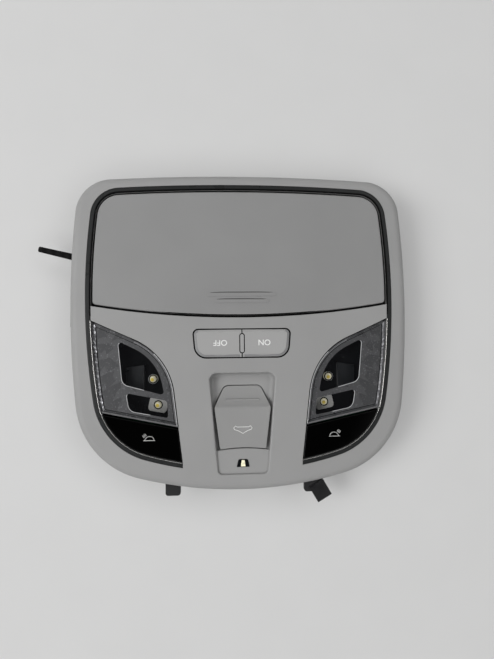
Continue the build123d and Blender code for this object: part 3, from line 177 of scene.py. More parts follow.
MOOD_CHIP = ((-1.1, 2.2), (1.1, 2.2), (1.7, -2.4), (-1.7, -2.4))
SIDES = ((-1, "left"), (1, "right"))


def crown(x, y, apex=FACE_Z):
    """Height of the domed face, or of a dome parallel to it, above the table."""
    return apex - CROWN_RADIUS + math.sqrt(CROWN_RADIUS**2 - x * x - (y - CROWN_Y) ** 2)


# Materials
def new_material(name):
    """An empty node material with its shader, output and object coordinates."""
    mat = bpy.data.materials.new(name)
    mat.use_nodes = True
    tree = mat.node_tree
    shader = tree.nodes["Principled BSDF"]
    coords = tree.nodes.new("ShaderNodeTexCoord")
    return mat, tree, shader, coords


def noise(tree, coords, scale, detail, roughness=0.5):
    """A noise texture in object coordinates, whose scale counts cycles per metre."""
    node = tree.nodes.new("ShaderNodeTexNoise")
    node.inputs["Scale"].default_value = scale
    node.inputs["Detail"].default_value = detail
    node.inputs["Roughness"].default_value = roughness
    tree.links.new(coords.outputs["Object"], node.inputs["Vector"])
    return node


def ramp(tree, source, low, high, from_low=0.3, from_high=0.7):
    """Maps a grey value to a range, for a roughness or a mix factor."""
    node = tree.nodes.new("ShaderNodeMapRange")
    node.inputs["From Min"].default_value = from_low
    node.inputs["From Max"].default_value = from_high
    node.inputs["To Min"].default_value = low
    node.inputs["To Max"].default_value = high
    tree.links.new(source, node.inputs["Value"])
    return node.outputs["Result"]


def mix_colors(tree, factor, first, second):
    """Mixes two plain colours by a factor."""
    node = tree.nodes.new("ShaderNodeMix")
    node.data_type = "RGBA"
    node.inputs["A"].default_value = (*first, 1.0)
    node.inputs["B"].default_value = (*second, 1.0)
    tree.links.new(factor, node.inputs["Factor"])
    return node.outputs["Result"]


def bump(tree, shader, height, strength, distance):
    """Adds a bump from a height value."""
    node = tree.nodes.new("ShaderNodeBump")
    node.inputs["Strength"].default_value = strength
    node.inputs["Distance"].default_value = distance
    tree.links.new(height, node.inputs["Height"])
    tree.links.new(node.outputs["Normal"], shader.inputs["Normal"])


def moulded(name, color, rough=0.55, grain=2600.0, strength=0.12, spread=0.025, specular=0.35):
    """Moulded plastic with a fine erosion grain and a slight drift of tone."""
    mat, tree, shader, coords = new_material(name)
    drift = noise(tree, coords, scale=24.0, detail=2.0)
    dark = tuple(c * (1 - spread) for c in color)
    light = tuple(c * (1 + spread) for c in color)
    tone = mix_colors(tree, ramp(tree, drift.outputs["Fac"], low=0.0, high=1.0), dark, light)
    tree.links.new(tone, shader.inputs["Base Color"])
    fine = noise(tree, coords, scale=grain, detail=2.0, roughness=0.6)
    gloss = ramp(tree, fine.outputs["Fac"], low=rough - 0.06, high=rough + 0.06)
    tree.links.new(gloss, shader.inputs["Roughness"])
    shader.inputs["Specular IOR Level"].default_value = specular
    bump(tree, shader, fine.outputs["Fac"], strength, distance=0.0002)
    return mat


def glossy(name, color, rough, metal=0.0, specular=0.5):
    """Smooth plastic or bright metal with faint smears in its gloss."""
    mat, tree, shader, coords = new_material(name)
    smear = noise(tree, coords, scale=60.0, detail=4.0, roughness=0.65)
    dark = tuple(c * 0.9 for c in color)
    tone = mix_colors(tree, ramp(tree, smear.outputs["Fac"], low=0.0, high=1.0), dark, color)
    tree.links.new(tone, shader.inputs["Base Color"])
    gloss = ramp(tree, smear.outputs["Fac"], low=rough * 0.7, high=rough * 1.5)
    tree.links.new(gloss, shader.inputs["Roughness"])
    shader.inputs["Metallic"].default_value = metal
    shader.inputs["Specular IOR Level"].default_value = specular
    return mat


def flecked(name, color, fleck):
    """Dark paint with metallic flecks, as on the lamp panels."""
    mat, tree, shader, coords = new_material(name)
    cells = tree.nodes.new("ShaderNodeTexVoronoi")
    cells.inputs["Scale"].default_value = 1600.0
    tree.links.new(coords.outputs["Object"], cells.inputs["Vector"])
    bright = tree.nodes.new("ShaderNodeSeparateColor")
    tree.links.new(cells.outputs["Color"], bright.inputs["Color"])
    factor = ramp(tree, bright.outputs["Red"], low=0.0, high=1.0, from_low=0.9, from_high=1.0)
    tree.links.new(mix_colors(tree, factor, color, fleck), shader.inputs["Base Color"])
    shader.inputs["Metallic"].default_value = 0.35
    shader.inputs["Roughness"].default_value = 0.42
    bump(tree, shader, bright.outputs["Blue"], strength=0.04, distance=0.0001)
    return mat


def clear(name, tint, rough=0.02):
    """Clear moulded plastic that lets the panel show through, with a faint haze."""
    mat, tree, shader, coords = new_material(name)
    haze = noise(tree, coords, scale=90.0, detail=2.0)
    gloss = ramp(tree, haze.outputs["Fac"], low=rough, high=rough * 3)
    tree.links.new(gloss, shader.inputs["Roughness"])
    shader.inputs["Base Color"].default_value = (*tint, 1.0)
    shader.inputs["Alpha"].default_value = 0.12
    return mat


def felt(name, color):
    """Short-pile felt."""
    mat, tree, shader, coords = new_material(name)
    fibre = noise(tree, coords, scale=1500.0, detail=5.0, roughness=0.75)
    dark = tuple(c * 0.6 for c in color)
    tone = mix_colors(tree, ramp(tree, fibre.outputs["Fac"], low=0.0, high=1.0), dark, color)
    tree.links.new(tone, shader.inputs["Base Color"])
    shader.inputs["Roughness"].default_value = 0.95
    shader.inputs["Sheen Weight"].default_value = 0.5
    bump(tree, shader, fibre.outputs["Fac"], strength=0.6, distance=0.0006)
    return mat


def lit(name, color, glow):
    """A diode's pale encapsulation with a faint glow of its own, which is painted light, as the diodes are
    not switched on.
    """
    mat, tree, shader, coords = new_material(name)
    cloud = noise(tree, coords, scale=700.0, detail=2.0)
    dark = tuple(c * 0.7 for c in color)
    tone = mix_colors(tree, ramp(tree, cloud.outputs["Fac"], low=0.0, high=1.0), dark, color)
    tree.links.new(tone, shader.inputs["Base Color"])
    tree.links.new(tone, shader.inputs["Emission Color"])
    shader.inputs["Emission Strength"].default_value = glow
    shader.inputs["Roughness"].default_value = 0.25
    return mat


def taped(name):
    """Harness wrapped in black cloth tape, with the spiral of its edges."""
    mat, tree, shader, coords = new_material(name)
    turns = tree.nodes.new("ShaderNodeTexWave")
    turns.bands_direction = "X"
    turns.inputs["Scale"].default_value = 45.0
    turns.inputs["Distortion"].default_value = 1.5
    tree.links.new(coords.outputs["Object"], turns.inputs["Vector"])
    tone = mix_colors(tree, turns.outputs["Fac"], (0.003, 0.003, 0.003), (0.009, 0.009, 0.009))
    tree.links.new(tone, shader.inputs["Base Color"])
    shader.inputs["Roughness"].default_value = 0.7
    shader.inputs["Specular IOR Level"].default_value = 0.08
    bump(tree, shader, turns.outputs["Fac"], strength=0.5, distance=0.0004)
    return mat


GREY = moulded("grey_plastic", (0.318, 0.317, 0.315))
DOOR_GREY = moulded("door_grey", (0.268, 0.268, 0.267), rough=0.5)
LEVER_GREY = moulded("lever_grey", (0.295, 0.294, 0.291), rough=0.5)
BUTTON_GREY = moulded("button_grey", (0.37, 0.368, 0.365), rough=0.5)
BLACK = moulded("black_plastic", (0.012, 0.012, 0.013), rough=0.5, strength=0.2)
TRIM = glossy("smoked_trim", (0.015, 0.016, 0.016), rough=0.3, specular=0.22)
# Painted highlight: bright metal standing for the reflection along the trim's inner round
TRIM_HIGHLIGHT = glossy("painted_trim_highlight", (0.72, 0.71, 0.69), rough=0.16, metal=1.0)
STEEL = glossy("zinc_steel", (0.42, 0.42, 0.43), rough=0.35, metal=1.0)
BLACK_STEEL = glossy("black_steel", (0.012, 0.012, 0.013), rough=0.4, metal=0.4)
KEY_BLACK = glossy("gloss_black", (0.001, 0.001, 0.001), rough=0.06, specular=0.15)
WELL = glossy("reflector_black", (0.005, 0.006, 0.007), rough=0.2, specular=0.2)
STEP = glossy("reflector_step", (0.012, 0.014, 0.016), rough=0.3, specular=0.4)
PANEL = flecked("metallic_panel", (0.089, 0.09, 0.094), (0.19, 0.19, 0.2))
LENS = clear("clear_lens", (0.02, 0.02, 0.022))
FELT = felt("liner_felt", (0.05, 0.05, 0.055))
BOARD = glossy("solder_mask", (0.01, 0.09, 0.035), rough=0.35)
CREAM = moulded("cream_plastic", (0.55, 0.54, 0.5), rough=0.45)
HOLDER = moulded("holder_grey", (0.5, 0.5, 0.49), rough=0.45)
# Painted light: the diode caps glow though the console is not switched on
DIODE = lit("diode_cap", (0.86, 0.82, 0.6), glow=0.36)
RUBBER = moulded("rubber", (0.01, 0.01, 0.01), rough=0.7, strength=0.25)
TAPE = taped("cloth_tape")
PRINT = glossy("white_print", (0.85, 0.85, 0.84), rough=0.4)
# Painted highlight: bright lines on the edges of the lens, the panel windows and round the diodes
EDGE = glossy("painted_edge_highlight", (0.8, 0.81, 0.82), rough=0.25)
# Lighter grey that paints the glints of the lens's moulded prisms
PRISM = glossy("lens_prisms_painted_glint", (0.24, 0.24, 0.25), rough=0.45, specular=0.4)
# Painted glints: shiny grey standing for the sparkle of the clear lens's facets
SPARKLE = glossy("lens_sparkle", (0.42, 0.42, 0.44), rough=0.15, metal=0.5)
# Painted highlight: lighter grey for the lit lower edge of the clear lens
BAR = glossy("lens_edge_highlight_bar", (0.17, 0.17, 0.175), rough=0.3)
# Painted shade: black for the dark gaps and crevices between parts
GAP_SHADE = glossy("painted_gap_shade", (0.002, 0.002, 0.002), rough=0.5, specular=0.05)
BEVEL_SHADE = moulded("bevel_shade", (0.25, 0.251, 0.253), rough=0.5)
# Yellow phosphor of the diode chips, with a painted glow
CHIP = lit("diode_chip", (0.78, 0.6, 0.12), glow=0.2)
RIB_SHADE = moulded("rib_shade", (0.1, 0.1, 0.099), rough=0.6)
GREY_PRINT = glossy("grey_print", (0.55, 0.55, 0.54), rough=0.4)

finishes = {
    "main_bezel": GREY,
    "dark_trim": TRIM,
    "glasses_door": DOOR_GREY,
    "glasses_tray": BLACK,
    "tray_liner": FELT,
    "glasses_housing": BLACK,
    "hinge_pins": STEEL,
    "door_spring": STEEL,
    "push_latch": BLACK,
    "rear_housing": BLACK,
    "housing_screws": STEEL,
    "button_divider": BUTTON_GREY,
    "sunroof_lever": LEVER_GREY,
    "lever_pin": STEEL,
    "mood_lens": WELL,
    "main_board": BOARD,
    "tact_switches": BLACK,
    "lever_switch": BLACK,
    "board_connector": CREAM,
    "turned_tab_clip": BLACK_STEEL,
    "harness_grommet": RUBBER,
    "harness_cable": TAPE,
}
for side in ("left", "right"):
    finishes[side + "_lamp_lens"] = LENS
    finishes[side + "_lamp_panel"] = PANEL
    finishes[side + "_lamp_reflector"] = WELL
    finishes[side + "_lamp_board"] = BOARD
    finishes[side + "_lamp_diodes"] = DIODE
    finishes[side + "_diode_holder"] = HOLDER
    finishes[side + "_lamp_key"] = KEY_BLACK
    finishes[side + "_push_button"] = BUTTON_GREY
    finishes[side + "_side_clip"] = BLACK_STEEL
for name, mat in finishes.items():
    nodes[name].data.materials.clear()
    nodes[name].data.materials.append(mat)


# Outlines that the small pieces follow, on the right side of the console
TRIM_STEPS = (12, 16, 40, 28, 24)
BEND_STEPS = 40
REACH_LIMIT = 80.0
REACH_STEPS = 30
LENS_TRIM_STEPS = 60


def sagitta_circle(start, end, bow):
    """Centre and radius of the arc that bulges away from the console's middle between two points."""
    start, end = Vector(start), Vector(end)
    middle = (start + end) / 2
    half = (end - start).length / 2
    outward = Vector((start.y - end.y, end.x - start.x)).normalized()
    if outward.dot(middle) < 0:
        outward.negate()
    radius = (half * half + bow * bow) / (2 * bow)
    return middle + outward * (bow - radius), radius


def corner_centre(first, second, radius, near):
    """Centre of the round corner inside two circles, the one nearest to a point."""
    reach_a = first[1] - radius
    reach_b = second[1] - radius
    gap = second[0] - first[0]
    along = (gap.length_squared + reach_a**2 - reach_b**2) / (2 * gap.length)
    across = math.sqrt(reach_a**2 - along**2)
    unit = gap.normalized()
    foot = first[0] + unit * along
    side = Vector((-unit.y, unit.x)) * across
    return min((foot + side, foot - side), key=lambda centre: (centre - Vector(near)).length)


def heading(way):
    """The angle of a direction in the plan."""
    return math.atan2(way.y, way.x)


def arc(centre, radius, start, end, count):
    """Points along an arc between two angles."""
    angles = [start + (end - start) * i / count for i in range(count + 1)]
    return [centre + radius * Vector((math.cos(a), math.sin(a))) for a in angles]


TOP_ARC = sagitta_circle((-TRIM_TOP[0], TRIM_TOP[1]), TRIM_TOP, TRIM_TOP_BOW)
SIDE_ARC = sagitta_circle(TRIM_TOP, TRIM_FRONT, TRIM_SIDE_BOW)
FRONT_ARC = sagitta_circle(TRIM_FRONT, (-TRIM_FRONT[0], TRIM_FRONT[1]), TRIM_FRONT_BOW)
TOP_CORNER = corner_centre(TOP_ARC, SIDE_ARC, TRIM_TOP_RADIUS, TRIM_TOP)
FRONT_CORNER = corner_centre(SIDE_ARC, FRONT_ARC, TRIM_FRONT_RADIUS, TRIM_FRONT)


def trim_half(shrink):
    """Right half of the trim's outer edge moved inwards, from the top middle to the front middle."""
    top = heading(TOP_CORNER - TOP_ARC[0])
    high = heading(TOP_CORNER - SIDE_ARC[0])
    low = heading(FRONT_CORNER - SIDE_ARC[0])
    front = heading(FRONT_CORNER - FRONT_ARC[0])
    runs = (
        arc(TOP_ARC[0], TOP_ARC[1] - shrink, math.pi / 2, top, TRIM_STEPS[0]),
        arc(TOP_CORNER, TRIM_TOP_RADIUS - shrink, top, high, TRIM_STEPS[1]),
        arc(SIDE_ARC[0], SIDE_ARC[1] - shrink, high, low, TRIM_STEPS[2]),
        arc(FRONT_CORNER, TRIM_FRONT_RADIUS - shrink, low, front, TRIM_STEPS[3]),
        arc(FRONT_ARC[0], FRONT_ARC[1] - shrink, front, -math.pi / 2, TRIM_STEPS[4]),
    )
    return [runs[0][0]] + [point for run in runs for point in run[1:]]


def trim_x(y, shrink):
    """How far from the middle the trim's edge, moved inwards, stands at a place along the side."""
    path = trim_half(shrink)
    for a, b in zip(path, path[1:]):
        if b.y <= y < a.y:
            return a.x + (b.x - a.x) * (a.y - y) / (a.y - b.y)
    return path[-1].x


def reach_trim(start, way, shrink):
    """Where a line from a point first meets the trim's edge, moved inwards."""
    near, far = 0.0, REACH_LIMIT
    for _ in range(REACH_STEPS):
        middle = (near + far) / 2
        point = start + way * middle
        if point.x < trim_x(point.y, shrink):
            near = middle
        else:
            far = middle
    return start + way * near


TOP_WAY = Vector((math.cos(LEAF_TOP_ANGLE), math.sin(LEAF_TOP_ANGLE)))
TOP_IN = Vector((TOP_WAY.y, -TOP_WAY.x))
LEAN_WAY = Vector((-math.sin(LEAF_LEAN_ANGLE), -math.cos(LEAF_LEAN_ANGLE)))
LEAN_IN = Vector((-LEAN_WAY.y, LEAN_WAY.x))
SPLIT_WAY = Vector((math.cos(SPLIT_ANGLE), math.sin(SPLIT_ANGLE)))
SPLIT_IN = Vector((-SPLIT_WAY.y, SPLIT_WAY.x))
BEND_CENTRE = LEAF_BEND + (TOP_IN + LEAN_IN) * LEAF_BEND_RADIUS / (1 + TOP_IN.dot(LEAN_IN))


def leaf_bend(margin):
    """The round bend of a lamp's inner edge, moved inwards."""
    return arc(BEND_CENTRE, LEAF_BEND_RADIUS - margin, heading(-TOP_IN), heading(-LEAN_IN), BEND_STEPS)


def lens_low_corner(margin):
    """Where the lens's inner edge meets its lower edge, both moved inwards."""
    foot = leaf_bend(margin)[-1]
    drop = ((foot - SPLIT_POINT).dot(SPLIT_IN) - margin) / -LEAN_WAY.dot(SPLIT_IN)
    return foot + LEAN_WAY * drop


def between(start, end, count):
    """Points along a straight line, both ends included."""
    return [start.lerp(end, i / count) for i in range(count + 1)]


def lens_inner_edge(margin, count=30):
    """The lens's bend and inner edge, moved inwards, down to the lower edge."""
    bend = leaf_bend(margin)
    return bend + between(bend[-1], lens_low_corner(margin), count)[1:]


def lens_trim_edge(margin, count=LENS_TRIM_STEPS):
    """The lens's edge along the trim, moved inwards, from its top corner to its lower edge."""
    shrink = TRIM_WIDTH + margin
    top = reach_trim(leaf_bend(margin)[0], TOP_WAY, shrink)
    low = reach_trim(lens_low_corner(margin), SPLIT_WAY, shrink)
    heights = [top.y + (low.y - top.y) * i / count for i in range(count + 1)]
    return [Vector((trim_x(y, shrink), y)) for y in heights]


def lens_low_edge(margin, count=20):
    """The lens's lower edge above the key, moved inwards, from the inner corner to the trim."""
    corner = lens_low_corner(margin)
    return between(corner, reach_trim(corner, SPLIT_WAY, TRIM_WIDTH + margin), count)


def lens_border(margin):
    """The whole border of the lens, moved inwards."""
    return lens_inner_edge(margin) + lens_low_edge(margin)[1:-1] + lens_trim_edge(margin)[::-1]


def corner_arc(before, corner, after, radius, count=8):
    """Points round a corner between two straight edges."""
    corner = Vector(corner)
    back = (Vector(before) - corner).normalized()
    ahead = (Vector(after) - corner).normalized()
    half = back.angle(ahead) / 2
    centre = corner + (back + ahead).normalized() * radius / math.sin(half)
    start = corner + back * radius / math.tan(half) - centre
    end = corner + ahead * radius / math.tan(half) - centre
    turn = start.angle_signed(end)
    first = heading(start)
    return arc(centre, radius, first, first - turn, count)


def rounded(points, radii):
    """The corner arcs of a closed outline with rounded corners."""
    size = len(points)
    return [corner_arc(points[i - 1], points[i], points[(i + 1) % size], radii[i]) for i in range(size)]


def button_border(inset):
    """The right push button's outer edge moved inwards, from its upper corner to the divider."""
    top = Vector((BUTTON_CORNERS[0][0] - inset, BUTTON_CORNERS[0][1] - inset))
    low = Vector((BUTTON_CORNERS[1][0] - inset, BUTTON_CORNERS[1][1] + inset))
    end = Vector((DIVIDER_RADIUS, low.y))
    side = corner_arc((0.0, top.y), top, low, BUTTON_RADII[0] - inset)
    return side + corner_arc(top, low, end, BUTTON_RADII[1] - inset) + [end]


def level_ring(centre, radius, height, side):
    """A level ring round a point of the right side, or round its mirror image."""
    plan = arc(Vector(centre), radius, 0, 2 * math.pi, RING_STEPS)[:-1]
    return [Vector((side * p.x, p.y, height)) for p in plan]


# Makers of small pieces
def placed(points, apex, side=1):
    """Points of a plan laid on a dome, on the right or mirrored to the left."""
    return [Vector((side * p.x, p.y, crown(p.x, p.y, apex))) for p in points]


def add_piece(name, data, mat, body="console"):
    """Links a new piece, gives it its finish and lets it ride on a body."""
    piece = bpy.data.objects.new(name, data)
    bpy.context.scene.collection.objects.link(piece)
    data.materials.append(mat)
    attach(piece, body)


def tube(name, paths, radius, mat, body="console", closed=False, swell=None):
    """Fine round lines along paths in millimetres, whose thickness may swell along the way."""
    line = bpy.data.curves.new(name, "CURVE")
    line.dimensions = "3D"
    for path in paths:
        spline = line.splines.new("POLY")
        spline.points.add(len(path) - 1)
        for point, place, share in zip(spline.points, path, swell or [1.0] * len(path)):
            point.co = (*(place * MM), 1.0)
            point.radius = share
        spline.use_cyclic_u = closed
    line.bevel_depth = radius * MM
    line.bevel_resolution = 2
    line.use_fill_caps = True
    add_piece(name, line, mat, body)


def strip(name, left, right, heights, mat, slot, body="console"):
    """A closed strip between two lines of points, whose top stands at a height over each pair."""
    mesh = bmesh.new()
    rows = []
    for a, b, height in zip(left, right, heights):
        lift = Vector((0, 0, height))
        rows.append([mesh.verts.new(place * MM) for place in (a, b, b + lift, a + lift)])
    for first, second in zip(rows, rows[1:]):
        for i in range(4):
            mesh.faces.new((first[i], first[i - 1], second[i - 1], second[i]))
    mesh.faces.new(rows[0])
    mesh.faces.new(rows[-1][::-1])
    bmesh.ops.recalc_face_normals(mesh, faces=mesh.faces)
    data = bpy.data.meshes.new(name)
    mesh.to_mesh(data)
    mesh.free()
    add_piece(name, data, mat, body)


def plate(name, outline, bottom, top, mat, bevel=0.3):
    """A prism on a closed outline of points, with a bevelled top."""
    mesh = bmesh.new()
    low = [mesh.verts.new(Vector((p.x, p.y, bottom)) * MM) for p in outline]
    high = [mesh.verts.new(Vector((p.x, p.y, top)) * MM) for p in outline]
    for i in range(len(outline)):
        mesh.faces.new((low[i - 1], low[i], high[i], high[i - 1]))
    cap = mesh.faces.new(high)
    mesh.faces.new(low[::-1])
    bmesh.ops.recalc_face_normals(mesh, faces=mesh.faces)
    bmesh.ops.bevel(mesh, geom=list(cap.edges), offset=bevel * MM, segments=2, affect="EDGES", profile=0.5)
    data = bpy.data.meshes.new(name)
    mesh.to_mesh(data)
    mesh.free()
    add_piece(name, data, mat)


def lettering(name, words, place, height, apex, mat, body):
    """Printed letters that read from the front seats, so upside down here, laid on a dome."""
    text = bpy.data.curves.new(name, "FONT")
    text.body = words
    text.size = height * MM / WORD_CAPITAL_SHARE
    text.align_x = "CENTER"
    text.align_y = "CENTER"
    text.extrude = WORD_THICK * MM
    text.offset = WORD_SWELL * MM
    source = bpy.data.objects.new(name + "_source", text)
    data = bpy.data.meshes.new_from_object(source)
    data.name = name
    bpy.data.objects.remove(source)
    for vertex in data.vertices:
        x = place[0] * MM - vertex.co.x
        y = place[1] * MM - vertex.co.y
        vertex.co = (x, y, vertex.co.z + crown(x / MM, y / MM, apex) * MM)
    add_piece(name, data, mat, body)


# Painted highlight: a bright metal line along the trim beside the lamps stands for the reflection on the
# trim's inner round
lens_top_y = lens_trim_edge(0.0)[0].y
highlight_half = [p for p in trim_half(TRIM_WIDTH - HIGHLIGHT_INSET) if p.y < lens_top_y and p.x > TRIM_END_HALF]
highlight_paths = [placed(highlight_half, TRIM_Z - HIGHLIGHT_RADIUS, side) for side, _ in SIDES]
tube("trim_highlight_line", highlight_paths, HIGHLIGHT_RADIUS, TRIM_HIGHLIGHT)
# Painted shade: a black band on the trim's inner edge round the door stands for the dark gap between the
# trim and the door
trim_shade_pairs = list(zip(trim_half(TRIM_WIDTH - TRIM_GAP_SHADE), trim_half(TRIM_WIDTH)))
trim_shade_pairs = [(outer, inner) for outer, inner in trim_shade_pairs if inner.y > lens_top_y]
trim_shade_base = TRIM_Z - TRIM_GAP_SHADE_SINK
trim_shade_edges = [placed(edge[:0:-1], trim_shade_base, -1) + placed(edge, trim_shade_base) for edge in zip(*trim_shade_pairs)]
trim_shade_heights = [TRIM_GAP_SHADE_THICK] * len(trim_shade_edges[0])
strip("trim_gap_shade", *trim_shade_edges, trim_shade_heights, GAP_SHADE, "black_plastic")

# Painted shadow under the door's front edge: a black line on the door, thickest at the finger pull
door_shadow_places = [DOOR_SHADOW_HALF * (i / DOOR_SHADOW_STEPS - 1) for i in range(2 * DOOR_SHADOW_STEPS + 1)]
door_shadow_line = []
for x in door_shadow_places:
    y = DOOR_EDGE[0] + DOOR_EDGE[1] - math.sqrt(DOOR_EDGE[1] ** 2 - x * x) + DOOR_SHADOW_INSET
    door_shadow_line.append(Vector((x, y, crown(x, y) - DOOR_SHADOW_INSET)))
door_shadow_swell = [1.0 - DOOR_SHADOW_FADE * (x / DOOR_SHADOW_HALF) ** 4 for x in door_shadow_places]
tube("door_edge_shadow", [door_shadow_line], DOOR_SHADOW_RADIUS, GAP_SHADE, "glasses_door", swell=door_shadow_swell)

# Shaded upper edges of the door's finger ribs, fading at their ends
rib_steps = [i / RIB_STEPS - 1 for i in range(2 * RIB_STEPS + 1)]
rib_lines = []
for y, half in DOOR_RIBS:
    rib_lines.append([Vector((half * t, y, crown(half * t, y) - RIB_SINK)) for t in rib_steps])
rib_swell = [max(RIB_END_SHARE, 1.0 - t**4) for t in rib_steps]
tube("door_rib_edges", rib_lines, RIB_RADIUS, RIB_SHADE, "glasses_door", swell=rib_swell)


# Lamp details on both sides
def dress_lens(side, word, glints):
    """Painted shade and painted highlights of a lamp's lens: black lines in the gap round the lens and
    round the panel, a bright line on its inner edge, prisms and sparkle in shiny grey for their glints,
    and a lighter bar on its lower edge.
    """
    # Painted shade: a black line in the gap between the bezel and the lens
    gap_line = lens_trim_edge(LENS_GAP_INSET)[:1] + lens_inner_edge(LENS_GAP_INSET)
    gap_path = placed(gap_line, FACE_Z - LENS_GAP_SINK, side)
    tube(word + "_lens_gap_shade", [gap_path], LENS_GAP_RADIUS, GAP_SHADE)
    # Painted highlight: a bright line on the lens's inner edge, from the bend downwards
    bright_line = lens_inner_edge(LENS_EDGE_INSET)[LENS_EDGE_START:]
    bright_path = placed(bright_line, TRIM_Z - LENS_EDGE_SINK, side)
    tube(word + "_lens_edge", [bright_path], LENS_EDGE_RADIUS, EDGE)
    # Prisms moulded on the lens's inner edge, in a lighter grey that paints their glints
    prism_lines = [placed(lens_inner_edge(inset), PANEL_Z, side) for inset in PRISM_INSETS]
    teeth = [PRISM_HEIGHTS[i % 2] for i in range(len(prism_lines[0]))]
    strip(word + "_lens_prisms_painted_glint", *prism_lines, teeth, PRISM, "clear_lens")
    # Painted glints: a crinkled strip of shiny grey beside the trim stands for the sparkle of the lens's
    # clear facets
    sparkle_lines = [placed(lens_trim_edge(inset), PANEL_Z, side) for inset in SPARKLE_INSETS]
    strip(word + "_lens_sparkle", *sparkle_lines, glints, SPARKLE, "clear_lens")
    # Painted shade: a black line round the panel's edge under the lens border
    panel_path = placed(lens_border(PANEL_LINE_INSET), PANEL_Z, side)
    tube(word + "_panel_line", [panel_path], PANEL_LINE_RADIUS, GAP_SHADE, closed=True)
    # Painted highlight: a lighter grey bar on the lens's thick lower edge above the key
    bar_base = TRIM_Z - LIGHT_BAR_SINK
    bar_lines = [placed(lens_low_edge(inset), bar_base, side) for inset in LIGHT_BAR_INSETS]
    bar_heights = [LIGHT_BAR_THICK] * len(bar_lines[0])
    strip(word + "_lens_edge_highlight_bar", *bar_lines, bar_heights, BAR, "clear_lens")


def dress_window(side, name, points, radii):
    """Painted highlight: a bright line on the lower and outer edge of a window in a lamp's panel."""
    corners = rounded(points, radii)
    start = corners[2][-1].lerp(corners[3][0], 0.5)
    rim = [start] + corners[3] + corners[0][:WINDOW_EDGE_LAST]
    path = placed(rim, PANEL_Z + WINDOW_EDGE_LIFT, side)
    tube(name, [path], WINDOW_EDGE_RADIUS, EDGE)


def dress_diodes(side, word):
    """Painted shade in dark rings and painted highlight in bright rings round a lamp's two diodes, and
    their yellow chips, whose glow is painted light.
    """
    # Painted shade: black rings in the crevice round each diode
    rings = [level_ring(place, DIODE_RING, DIODE_RIM_Z + DIODE_RING_LIFT, side) for place in DIODES]
    tube(word + "_diode_shade_rings", rings, DIODE_RING_RADIUS, GAP_SHADE, closed=True)
    # Painted highlight: thin bright rings round each diode
    glint_rings = [level_ring(place, DIODE_GLINT_RING, DIODE_RIM_Z + DIODE_GLINT_RING_LIFT, side) for place in DIODES]
    tube(word + "_diode_glint_rings", glint_rings, DIODE_GLINT_RING_RADIUS, EDGE, closed=True)
    # Yellow chips, whose glow is painted light
    low, high = (DIODE_RIM_Z + lift for lift in CHIP_LIFT)
    for number, (x, y) in zip(("one", "two"), DIODES):
        middle = Vector((side * x - CHIP_SHIFT, y - CHIP_SHIFT))
        chip = arc(middle, CHIP_RADIUS, 0, 2 * math.pi, CHIP_STEPS)[:-1]
        plate(f"{word}_diode_{number}_chip", chip, low, high, CHIP, bevel=CHIP_BEVEL)


scatter = random.Random(GLINT_SEED)
lens_glints = [GLINT_LOW + GLINT_REACH * scatter.random() ** 2 for _ in range(LENS_TRIM_STEPS + 1)]
for side, word in SIDES:
    dress_lens(side, word, lens_glints)
    dress_window(side, word + "_window_one_edge", WINDOW_ONE, WINDOW_ONE_RADII)
    dress_window(side, word + "_window_two_edge", WINDOW_TWO, WINDOW_TWO_RADII)
    dress_diodes(side, word)
    step = [Vector((side * x, y)) for x, y in STEP_OUTLINE]
    plate(word + "_reflector_step", step, WELL_FLOOR_Z, STEP_Z, STEP)
    icon = [[Vector((ICON_PLACE[0] + x, ICON_PLACE[1] + y)) for x, y in stroke] for stroke in LAMP_ICON]
    icon_paths = [placed(stroke, KEY_Z, side) for stroke in icon]
    tube(word + "_key_icon", icon_paths, KEY_ICON_RADIUS, GREY_PRINT, word + "_lamp_key")

# Painted shade in the gaps round the push buttons and their divider, painted shade on the buttons' bevels,
# and the words on them
button_ring = [p for corner in rounded(BUTTON_CORNERS, BUTTON_RADII) for p in corner]
divider_top = Vector((0, DIVIDER_Y + DIVIDER_REACH))
divider_foot = Vector((0, DIVIDER_Y - DIVIDER_REACH))
divider_ring = arc(divider_top, DIVIDER_RADIUS, 0, math.pi, DIVIDER_STEPS)
divider_ring += arc(divider_foot, DIVIDER_RADIUS, math.pi, 2 * math.pi, DIVIDER_STEPS)
gap_rings = [placed(ring, FACE_Z - BUTTON_GAP_SINK) for ring in (button_ring, divider_ring)]
tube("button_gaps", gap_rings, BUTTON_GAP_RADIUS, GAP_SHADE, closed=True)
for side, word in SIDES:
    bevel_lines = []
    for inset, lift in (BEVEL_FOOT, BEVEL_BROW):
        bevel_lines.append(placed(button_border(inset), BUTTON_Z + lift, side))
    skin = [BEVEL_SKIN] * len(bevel_lines[0])
    body = word + "_push_button"
    strip(word + "_button_bevel", *bevel_lines, skin, BEVEL_SHADE, "button_grey", body)
for side, word, place in (("left", "OFF", LEFT_WORD_PLACE), ("right", "ON", RIGHT_WORD_PLACE)):
    name = side + "_button_word"
    body = side + "_push_button"
    lettering(name, word, place, WORD_HEIGHT, BUTTON_Z, PRINT, body)

# Roof pictogram on the lever and the diode behind the mood window, whose glow is painted light
lever_fall = (LEVER_CREST[1] - LEVER_END[1]) / (LEVER_CREST[0] - LEVER_END[0])
roof = [Vector((x, y, LEVER_END[1] + lever_fall * (y - LEVER_END[0]))) for x, y in ROOF_ICON]
tube("lever_icon", [roof], LEVER_ICON_RADIUS, PRINT, "sunroof_lever", closed=True)
mood_chip = [Vector((x, MOOD_Y + y)) for x, y in MOOD_CHIP]
mood_top = crown(0, MOOD_Y, MOOD_Z)
mood_low, mood_high = (mood_top + lift for lift in MOOD_CHIP_LIFT)
plate("mood_diode", mood_chip, mood_low, mood_high, DIODE, bevel=CHIP_BEVEL)

